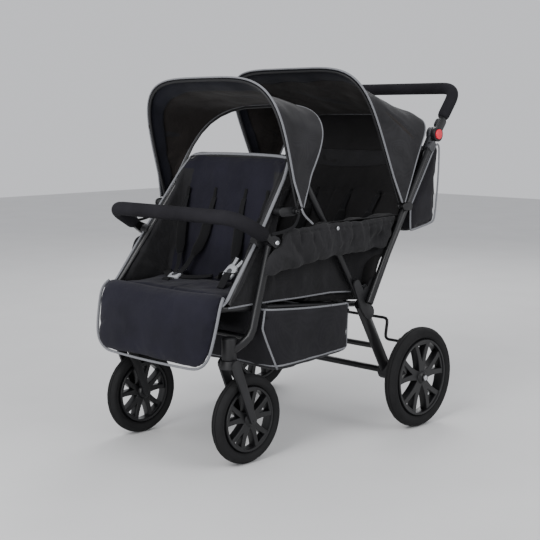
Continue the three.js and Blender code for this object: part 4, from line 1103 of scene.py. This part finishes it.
# Gathers under the pouch's top edge: y, lean and height
GATHERS = [(96, 26, 3.2), (118, -34, 3.0), (137, 44, 3.4), (160, -30, 3.2), (186, 56, 3.0), (214, -40, 3.4),
           (240, 30, 2.6), (262, 48, 3.2), (284, -60, 3.6), (308, 40, 3.2), (330, -26, 2.6), (356, 34, 2.8),
           (388, -44, 3.4), (416, 30, 2.6), (446, 52, 3.2), (474, -34, 3.0), (500, 28, 2.6), (528, -46, 3.4),
           (556, 38, 3.0), (582, -24, 2.4)]
for word, side in SIDES.items():
    pouch = padded_grid(f"side_pouch_{word}", pouch_grid(side), crown(5, 9, 12, 5), crown(4, 6), "side",
                        Vector((side, 0, 0)), "chassis")
    puff(pouch, pressure=1.6, cap=0.003, voxel=0.005)
    crumple(pouch, 0.006, 0.055, 33, stretch=(1, 1.1, 0.7))
    for y, lean, height in GATHERS:
        press(pouch, [[at(side * 295, y, 662), at(side * 298, y + lean * 0.4, 612 - abs(lean) * 0.5)]],
              height / 1000 * (1.1 if lean > 0 else -1.4), 0.007, taper=True)
    for a, b, width, height in (((100, 640), (180, 560), 12, -4), ((205, 652), (260, 575), 14, 4),
                                ((290, 590), (420, 640), 12, 3.5), ((440, 575), (560, 640), 14, -4),
                                ((330, 580), (340, 640), 10, -3.5), ((60, 600), (150, 556), 12, 4),
                                ((470, 640), (600, 600), 12, 3)):
        fold(pouch, at(side * 298, *a), at(side * 298, *b), width, height * 1.8)
    press(pouch, [[at(side * 295, 100, 642), at(side * 296, 200, 650), at(side * 296, 330, 648),
                   at(side * 296, 470, 647), at(side * 295, 592, 652)]], -0.003, 0.004)
    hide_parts(f"side_panel_{word}")
    strap = [(side * 292, 38, 651), (side * 293, 80, 655), (side * 297, 120, 664), (side * 299, 133, 682),
             (side * 300, 140, 700)]
    ribbon(f"hood_strap_{word}", strap, Vector((side, 0, 0.3)), 0.009, times=2)


# Bag behind the rear backrest

outline = [(661, 618), (668, 615), (778, 633), (792, 640), (808, 770), (811, 876), (804, 886), (790, 884),
           (727, 790), (668, 703), (660, 694)]
centre_y, centre_z = 748, 748
ring = [Vector((0, y, z)) for y, z in outline]
ring = rounded(ring, 1, closed=True)
ring = even(ring + ring[:1], 11)[:-1]
loops = []
for i in range(35):
    u = -1 + 2 * i / 34
    scale = 1 - 0.02 * max(0.0, (abs(u) - 0.96) / 0.04)
    slack = (1 - u * u) ** 0.5
    loop = []
    for p in ring:
        y, z = centre_y + (p.y - centre_y) * scale, centre_z + (p.z - centre_z) * scale
        z -= 9 * slack if p.z < 660 else 0
        y += 7 * slack if p.y > 770 and p.z < 860 else 0
        loop.append(at(u * 297, y, z))
    loops.append(loop)
bag = loft("storage_bag_cover", loops, "bag", "chassis")
puff(bag, pressure=3.0, cap=0.006, voxel=0.0055)
crumple(bag, 0.0045, 0.1, 41, stretch=(0.7, 1, 0.8))
press(bag, [[at(-286, 814, 846), at(286, 814, 846)]], -0.004, 0.005)
press(bag, [[at(-286, 800, 668), at(286, 800, 668)]], -0.003, 0.006)
for a, b, height in (((-200, 820, 830), (-120, 816, 700), 4), ((-60, 822, 830), (-20, 816, 690), -4),
                     ((120, 822, 836), (60, 816, 700), 4), ((230, 820, 826), (180, 814, 720), -4)):
    fold(bag, at(*a), at(*b), 16, height)
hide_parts("storage_bag")
for word, side in SIDES.items():
    heart = at(side * 297, centre_y, centre_z)
    loop = loops[-1] if side > 0 else loops[0]
    edge_line = [heart + (p - heart) * 1.012 + Vector((side * 0.0025, 0, 0)) for p in loop]
    line = even(edge_line + edge_line[:1], 0.009)
    piping(f"storage_bag_binding_{word}", line, [Vector((side, 0, 0))] * len(line), "chassis", width=0.0036)


# Basket: an open tub of cloth hung from the rails

def basket_rings():
    plan = [Vector((math.copysign(abs(math.cos(a)) ** 0.13, math.cos(a)),
                    0.5 + 0.5 * math.copysign(abs(math.sin(a)) ** 0.13, math.sin(a)), 0))
            for a in (2 * math.pi * (k + 0.5) / 600 for k in range(600))]
    plan = even([Vector((p.x * 280, p.y * 379, 0)) for p in plan + plan[:1]], 12)[:-1]
    plan = [Vector((p.x / 280, p.y / 379, 0)) for p in plan]
    front = [(22, 441), (17, 415), (11, 388), (28, 350), (50, 308), (69, 272), (84, 260)]
    rear = [(402, 403), (401, 386), (399, 365), (397, 338), (395, 308), (394, 282), (384, 272)]
    rings = []
    for i, (f, b) in enumerate(zip(front, rear)):
        belly = 5 * math.sin(math.pi * i / 6)
        trim = 1 - 0.03 * max(0, i - 5)
        lift = 13 * (1 - i / 6) ** 2
        rings.append([at(p.x * (280 * trim - 1 + belly * (1 - abs(2 * p.y - 1) ** 3)), f[0] + (b[0] - f[0]) * p.y,
                         f[1] + (b[1] - f[1]) * p.y + lift * p.y * clamped((abs(p.x) - 0.9) / 0.08)
                         - (4 if i == 0 else 0) * math.sin(math.pi * p.y)) for p in plan])
    for share, drop in ((0.93, 3), (0.82, 6), (0.66, 9), (0.48, 12), (0.3, 14), (0.12, 15)):
        middle = at(0, 232, 268)
        rings.append([middle + (p - middle) * share - UP * (drop / 1000) for p in rings[6]])
    return rings


rings = basket_rings()
LEG_OPENING = (6, 7)  # rings whose front corners stay open, where the folded front legs come in
for ring_points in rings[8:]:
    for p in ring_points:
        reach = 0.240 + 0.04 * clamped(((p - at(0, 0, 0)).y * 1000 - 156) / 40)
        p.x = max(-reach, min(reach, p.x))
count = len(rings[0])
points = [p for ring_points in rings for p in ring_points]


def in_leg_opening(face):
    spot = (points[face[3]] - at(0, 0, 0)) * 1000
    return face[0] // count in LEG_OPENING and spot.y < 156 and abs(spot.x) > 236


faces = [face for face in ring_faces(len(rings), count) if not in_leg_opening(face)]
points.append(sum(rings[-1], Vector()) / count)
faces += [((len(rings) - 1) * count + k, (len(rings) - 1) * count + (k + 1) % count, len(points) - 1)
          for k in range(count)]
mesh = mesh_from("basket_cover", points, faces)
tidy(mesh)
basket = add_mesh("basket_cover", mesh, "bag")
subdivide(basket)
thicken(basket, 0.0022)
applied(basket)
crumple(basket, 0.005, 0.09, 51, stretch=(1, 1, 0.7), where=lambda p: clamped((0.425 - p[2]) / 0.05))
for side in (-1, 1):
    for a, b, width, height in (((60, 415), (150, 300), 14, 4), ((330, 400), (250, 300), 16, 4),
                                ((180, 300), (360, 300), 12, -3)):
        fold(basket, at(side * 282, *a), at(side * 282, *b), width, height)
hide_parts("basket")
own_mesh(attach(basket, "chassis"))


def basket_piping(name, path, outward):
    made = piping(name, path, outward, "chassis", width=0.003)
    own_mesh(made)


middle = at(0, 212, 340)
rim_path = even(rings[0] + rings[0][:1], 0.01)
basket_piping("basket_rim_binding", rim_path, outward_of(rim_path, middle))
foot_path = even(rings[5] + rings[5][:1], 0.01)
basket_piping("basket_foot_piping", foot_path, outward_of(foot_path, middle))
for word, side in SIDES.items():
    for end, goal in (("front", 0.0), ("rear", 1.0)):
        k = min(range(count), key=lambda i: (rings[2][i] - at(side * 280, 11 if goal == 0 else 399, 388)).length)
        off = Vector((side * 0.0015, (goal - 0.5) * 0.004, 0))
        path = even([ring_points[k] + off for ring_points in rings[:7]], 0.01)
        basket_piping(f"basket_{end}_piping_{word}", path, [Vector((side, goal * 2 - 1, 0)).normalized()] * len(path))
        y = 44 if goal == 0 else 384
        z = 433 + (402 - 433) * (y - 23) / 379
        hanger = [(side * 276, y, z - 16), (side * 273, y, z - 4), (side * 262, y, rail_z(y) + 3),
                  (side * 250, y, rail_z(y) + 11), (side * 240, y, rail_z(y) + 11)]
        strap = ribbon(f"basket_{end}_tab_{word}", hanger, Vector((side * 0.6, 0, 0.8)), 0.025, times=2)
        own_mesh(strap)


# Harnesses

def harness(prefix, cx, rest, slots, seat_z, buckle, turn):
    """Slots as strips of painted shade, shoulder straps with pads, lap straps, crotch strap and buckle of one seat."""
    by, bz = buckle
    for hand, dx in SIDES.items():
        reach, top, low = slots
        x = cx + dx * reach
        proud = 9 * clamped((abs(x) - 145) / 18)
        facing = Vector((0, -1, 0.25))
        slit = [(x, rest(top) - 1.5 - proud, top), (x + dx * 3, rest(low) - 1.5 - proud, low)]
        # The slot is a dark strip of painted shade standing for the shadow inside the slot's opening
        ribbon(f"{prefix}_slot_{hand}", slit, facing, 0.013, "shadow", thick=0.002, times=1)
        rows = [(x + dx * 2, rest(low + 30) - 2 - proud, low + 30), (x + dx * 2, rest(low + 14) - 6 - proud, low + 14),
                (x - dx * 1, rest(low - 22) - 8 - proud, low - 22), (x - dx * 7, rest(low - 92) - 9 - proud, low - 92),
                (cx + dx * reach * 0.55, rest(low - 142) - 24, low - 142), (cx + dx * 18, by + 30, bz + 28),
                (cx + dx * 9, by + 4, bz + 5)]
        ribbon(f"{prefix}_shoulder_strap_{hand}", rows, facing, 0.020)
        sleeve = even(rounded([at(*rows[2]), at(*rows[3]), at(*rows[4])], 3), 0.008)
        last = len(sleeve) - 1
        widths = [0.021 * (0.62 + 0.38 * min(1, min(i, last - i) / 3)) for i in range(last + 1)]
        mesh = tube_mesh(f"{prefix}_shoulder_pad_{hand}", sleeve, widths, sides=14, flat=0.22,
                         outward=[facing] * len(sleeve))
        shoulder = add_mesh(f"{prefix}_shoulder_pad_{hand}", mesh, "padding", "chassis")
        lap = [(cx + dx * 104, rest(seat_z + 26) - 4, seat_z + 16), (cx + dx * 84, by + 44, seat_z + 11),
               (cx + dx * 44, by + 12, bz - 2), (cx + dx * 12, by, bz)]
        ribbon(f"{prefix}_lap_strap_{hand}", lap, Vector((0, -0.3, 1)), 0.025)
    ribbon(f"{prefix}_crotch_strap", [(cx, by - 44, seat_z + 1), (cx, by - 34, seat_z + 10), (cx, by - 16, bz - 6),
                                      (cx, by - 2, bz)], Vector((0, -1, 0.6)), 0.03)
    build_buckle(f"{prefix}_buckle", (cx, by, bz), turn)


def plate_form(name, outline, thick, frame_of, look, bevel=0.0022, body="chassis"):
    """A bevelled plate from an outline in its own plane."""
    count = len(outline)
    points = [frame_of @ Vector((x, y, depth)) for depth in (-thick / 2, thick / 2) for x, y in outline]
    faces = []
    faces.append(tuple(range(count - 1, -1, -1)))
    faces.append(tuple(range(count, 2 * count)))
    faces += [(k, (k + 1) % count, count + (k + 1) % count, count + k) for k in range(count)]
    mesh = mesh_from(name, points, faces)
    tidy(mesh)
    made = add_mesh(name, mesh, look, body)
    bevel_edges(made, bevel, 3, 40)
    applied(made)
    smooth_shading(made.data)


def build_buckle(name, place, turn):
    origin = at(*place)
    tilt = Matrix.Rotation(math.radians(turn[0]), 4, "X") @ Matrix.Rotation(math.radians(turn[1]), 4, "Z")
    frame_of = Matrix.Translation(origin) @ tilt
    body = [(-0.017, -0.022), (0.017, -0.022), (0.021, -0.012), (0.021, 0.010), (0.015, 0.022), (-0.015, 0.022),
            (-0.021, 0.010), (-0.021, -0.012)]
    plate_form(f"{name}_body", body, 0.010, frame_of, "buckle", 0.003)
    button = [(0.0095 * math.cos(a), -0.002 + 0.0095 * math.sin(a)) for a in (math.pi * k / 9 for k in range(18))]
    plate_form(f"{name}_button", button, 0.014, frame_of, "grey", 0.0016)
    for hand, dx in SIDES.items():
        tongue = [(dx * 0.003, 0.018), (dx * 0.014, 0.018), (dx * 0.021, 0.044), (dx * 0.008, 0.046)]
        plate_form(f"{name}_tongue_{hand}", tongue, 0.005, frame_of, "buckle", 0.0015)


def front_rest(z):
    return backrest_y(z) - 16


def rear_rest(z):
    return tube_y(max(z, 520)) - 25


harness("front_left_harness", -115, front_rest, (54, 758, 700), 486, (44, 497), (18, 25))
harness("front_right_harness", 117, front_rest, (48, 760, 702), 486, (50, 530), (52, -18))
harness("rear_left_harness", -132, rear_rest, (60, 738, 694), 452, (380, 478), (20, 10))
harness("rear_right_harness", 132, rear_rest, (60, 738, 694), 452, (380, 486), (30, -12))


# Wheels

def build_tyre(name, centre, radius, width, height, body):
    inner, half = radius - height, width / 2
    side = [(inner, half - 11), (inner + 3, half - 7.5), (inner + 0.28 * height, half - 2.5),
            (inner + 0.46 * height, half - 0.3), (inner + 0.52 * height, half - 0.9),
            (inner + 0.56 * height, half - 0.2), (inner + 0.7 * height, half - 1.4),
            (inner + 0.82 * height, half - 4.2), (inner + 0.87 * height, half - 5.8),
            (inner + 0.93 * height, half - 8.4), (radius - 1.1, half * 0.42), (radius - 0.6, half * 0.34),
            (radius - 2.6, half * 0.27), (radius - 2.6, half * 0.2), (radius - 0.2, half * 0.13)]
    profile = side + [(r, -x) for r, x in reversed(side)]
    edge = (8, 9, len(profile) - 9, len(profile) - 10)
    made = lathe(name, profile, centre, 112, "tyre", body,
                 lug=lambda k, i: -1.5 if i in edge and k % 4 < 2 else 0)
    return soften(made, 50)


def spoke_outline(rim_radius):
    hub, waist = 23, rim_radius * 0.5
    foot_half = rim_radius * 0.36
    foot = math.sqrt(rim_radius ** 2 - foot_half ** 2)
    slot_half, slot_foot, slot_tip = foot_half * 0.52, rim_radius * 0.9, rim_radius * 0.44

    def curve(a, b, c, steps=9):
        return [(a[0] * (1 - t) ** 2 + 2 * b[0] * t * (1 - t) + c[0] * t * t,
                 a[1] * (1 - t) ** 2 + 2 * b[1] * t * (1 - t) + c[1] * t * t)
                for t in (k / steps for k in range(steps + 1))]

    outer = curve((-14, hub * 0.6), (-14, waist), (-foot_half, foot)) + [(0, rim_radius)]
    outer += curve((foot_half, foot), (14, waist), (14, hub * 0.6))
    slot = curve((0, slot_tip), (slot_half * 0.3, waist * 1.2), (slot_half, slot_foot))
    slot += curve((-slot_half, slot_foot), (-slot_half * 0.3, waist * 1.2), (0, slot_tip))[:-1]
    return outer, slot


def build_rim(name, centre, radius, height, width, hub_half, cap, outward, body):
    outer = radius - height - 0.35
    inner, half = outer - 9, width / 2 - 11 + 0.35
    lip = width / 2 - 3.5
    edge = [(inner, lip - 1.5), (inner + 0.6, lip), (inner + 2.6, lip + 0.9), (outer - 2.4, lip + 0.5),
            (outer - 1.2, lip - 1), (outer - 0.6, half), (outer, half - 0.8)]
    profile = [(inner + 0.8, half * 0.5)] + edge + [(r, -x) for r, x in reversed(edge)] + [(inner + 0.8, -half * 0.5)]
    parts = [lathe(name, profile, centre, 80, "rim", body)]
    hub = [(0.01, -hub_half), (17, -hub_half), (19, -hub_half + 1.5), (23, -hub_half * 0.5), (23, hub_half * 0.45),
           (21.5, hub_half * 0.62), (15, hub_half - 0.5), (13, hub_half), (13, hub_half + cap - 1),
           (12, hub_half + cap), (0.01, hub_half + cap)]
    parts.append(lathe(f"{name}_hub", [(r, x * outward) for r, x in hub], centre, 40, "rim", body))
    line, slot = spoke_outline(inner + 3)
    shape = bpy.data.curves.new(f"{name}_spoke", "CURVE")
    shape.dimensions = "2D"
    shape.fill_mode = "BOTH"
    shape.extrude, shape.bevel_depth, shape.bevel_resolution, shape.offset = 0.011, 0.002, 2, -0.0015
    for points in (line, slot):
        spline = shape.splines.new("POLY")
        spline.points.add(len(points) - 1)
        for point, (a, b) in zip(spline.points, points):
            point.co = (a / 1000, b / 1000, 0, 1)
        spline.use_cyclic_u = True
    holder = bpy.data.objects.new(f"{name}_spoke", shape)
    bpy.context.scene.collection.objects.link(holder)
    bpy.context.view_layer.update()
    flat = bpy.data.meshes.new_from_object(holder.evaluated_get(bpy.context.evaluated_depsgraph_get()))
    bpy.data.objects.remove(holder)
    upright = Matrix(((0, 0, 1, 0), (1, 0, 0, 0), (0, 1, 0, 0), (0, 0, 0, 1)))
    whole = bmesh.new()
    for part in parts:
        whole.from_mesh(part.data)
    for i in range(5):
        turned, turn = flat.copy(), Matrix.Rotation(2 * math.pi * i / 5, 4, "X")
        turned.transform(Matrix.Translation(centre + Vector((outward * 0.002, 0, 0))) @ turn @ upright)
        whole.from_mesh(turned)
    whole.to_mesh(parts[0].data)
    whole.free()
    bpy.data.objects.remove(parts[1])
    made = parts[0]
    smooth_shading(made.data)
    return soften(made, 42)


for word, side in SIDES.items():
    front, rear = at(side * 229, 0, 128), at(side * 351, 648, 158)
    made = build_tyre(f"front_tread_{word}", front, 128, 38, 33, f"front_wheel_{word}")
    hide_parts(f"front_tyre_{word}")
    made = build_tyre(f"rear_tread_{word}", rear, 158, 42, 36, f"rear_wheel_{word}")
    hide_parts(f"rear_tyre_{word}")
    made = build_rim(f"front_rim_{word}_form", front, 128, 33, 38, 21, 1, side, f"front_wheel_{word}")
    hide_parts(f"front_rim_{word}")
    made = build_rim(f"rear_rim_{word}_form", rear, 158, 36, 42, 24, 5, side, f"rear_wheel_{word}")
    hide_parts(f"rear_rim_{word}")
    lathe(f"rear_hub_disc_{word}", [(0.01, side * 29), (8, side * 29), (9, side * 29.6), (6, side * 30.4),
                                    (0.01, side * 30.6)], rear, 28, "steel", f"rear_wheel_{word}")


# Foam grips

def grip(name, corners, bend_radius, radius, body, cad):
    path = even(smooth_path([at(*c) for c in corners], bend_radius / 1000, 12), 0.007)
    last = len(path) - 1
    reach = []
    for i in range(last + 1):
        near = min(i, last - i)
        reach.append(radius / 1000 * (0.8 if near == 0 else 0.95 if near == 1 else 1.0))
    made = add_mesh(name, tube_mesh(name, path, reach, sides=24), "foam", body)
    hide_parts(cad)


def toward(a, b, length):
    share = length / math.dist(a, b)
    return tuple(p + (q - p) * share for p, q in zip(a, b))


root = (282,) + toward((61, 626), (-72, 700), 21)
right_start = toward(root, (264, -72, 700), 22.1)
grip("bumper_grip", [(-right_start[0], *right_start[1:]), (-264, -72, 700), (264, -72, 700), right_start], 62, 20.5,
     "bumper", "bumper_foam")
low = toward((793, 915), (912, 1062), 67)
grip("handle_grip", [(-292, *low), (-292, 912, 1062), (292, 912, 1062), (292, *low)], 55, 19, "handle", "handle_foam")

# Small metal parts: snap fasteners and rivets on the side cloths
for word, side in SIDES.items():
    for name, place, size in (("snap", (300, 309, 649), 6.5), ("rivet", (246, 464, 470), 6)):
        x, y, z = place
        dome = [(0.01, 0), (size, 0), (size * 0.9, 1.4), (size * 0.45, 2.4), (0.01, 2.7)]
        lathe(f"{name}_{word}", [(r, side * h) for r, h in dome], at(side * x, y, z), 20, "steel", "chassis")


# Hard parts
HARD = {
    "tube": ["seat_frame", "front_hoop", "strut_left", "strut_right", "back_tube_left", "back_tube_right",
             "front_leg_frame", "rear_leg_frame", "rear_axle", "brake_bar", "handle_bar", "bumper_bar",
             "leg_rest_frame"],
    "plastic": ["front_pivot_bracket", "knee_bracket", "caster_housing", "front_fork", "axle_housing",
                "front_canopy_clamp", "rear_canopy_clamp", "front_canopy_rear_bow"],
    "red": ["handle_button"],
    "grey": ["handle_joint"],
    "steel": ["front_pivot_bolt", "frame_latch"],
}
for look, names in HARD.items():
    for name in names:
        found = [name] if name in frame["nodes"] else [f"{name}_{word}" for word in SIDES]
        for cad in found:
            dress(cad, look, bevel=0 if cad.endswith("bow") else 0.0022 if "fork" in cad or "joint" in cad else 0.001)


# Floor and light
floor_mesh = mesh_from("floor", [(-9, -9, 0), (9, -9, 0), (9, 9, 0), (-9, 9, 0)], [(0, 1, 2, 3)], smooth=False)
floor = bpy.data.objects.new("floor", floor_mesh)
bpy.context.scene.collection.objects.link(floor)
floor_look, floor_tree, floor_out = shader("floor_paint")
floor_noise = node(floor_tree, "ShaderNodeTexNoise", Vector=places(floor_tree), Scale=3.0, Detail=2.0)
floor_tone = ramp(floor_tree, floor_noise.outputs["Fac"], [(0.2, (0.6, 0.6, 0.6, 1)), (0.8, (0.64, 0.64, 0.64, 1))])
floor_tree.links.new(floor_tone, floor_out.inputs["Base Color"])
floor_out.inputs["Roughness"].default_value = 0.9
floor_mesh.materials.append(floor_look)
floor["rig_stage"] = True


def area_light(name, place, target, size, power):
    lamp = bpy.data.objects.new(name, bpy.data.lights.new(name, "AREA"))
    lamp.data.size = size
    lamp.data.energy = power
    lamp.location = place
    lamp.rotation_euler = (target - place).to_track_quat("-Z", "Y").to_euler()
    bpy.context.scene.collection.objects.link(lamp)


CENTRE = Vector((0, 0, 0.6))
area_light("key", Vector((0.6, -3.2, 3.0)), CENTRE, 1.8, 105)
area_light("fill", Vector((3.4, 0.4, 2.2)), CENTRE, 2.4, 48)
area_light("front", Vector((1.2, -3.4, 0.9)), CENTRE, 1.8, 34)
area_light("back", Vector((-1.8, 2.8, 3.0)), CENTRE, 2.0, 65)
world = bpy.data.worlds.new("studio")
world.use_nodes = True
world.node_tree.nodes["Background"].inputs["Color"].default_value = (0.95, 0.96, 1.0, 1)
world.node_tree.nodes["Background"].inputs["Strength"].default_value = 0.8
bpy.context.scene.world = world

low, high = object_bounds()
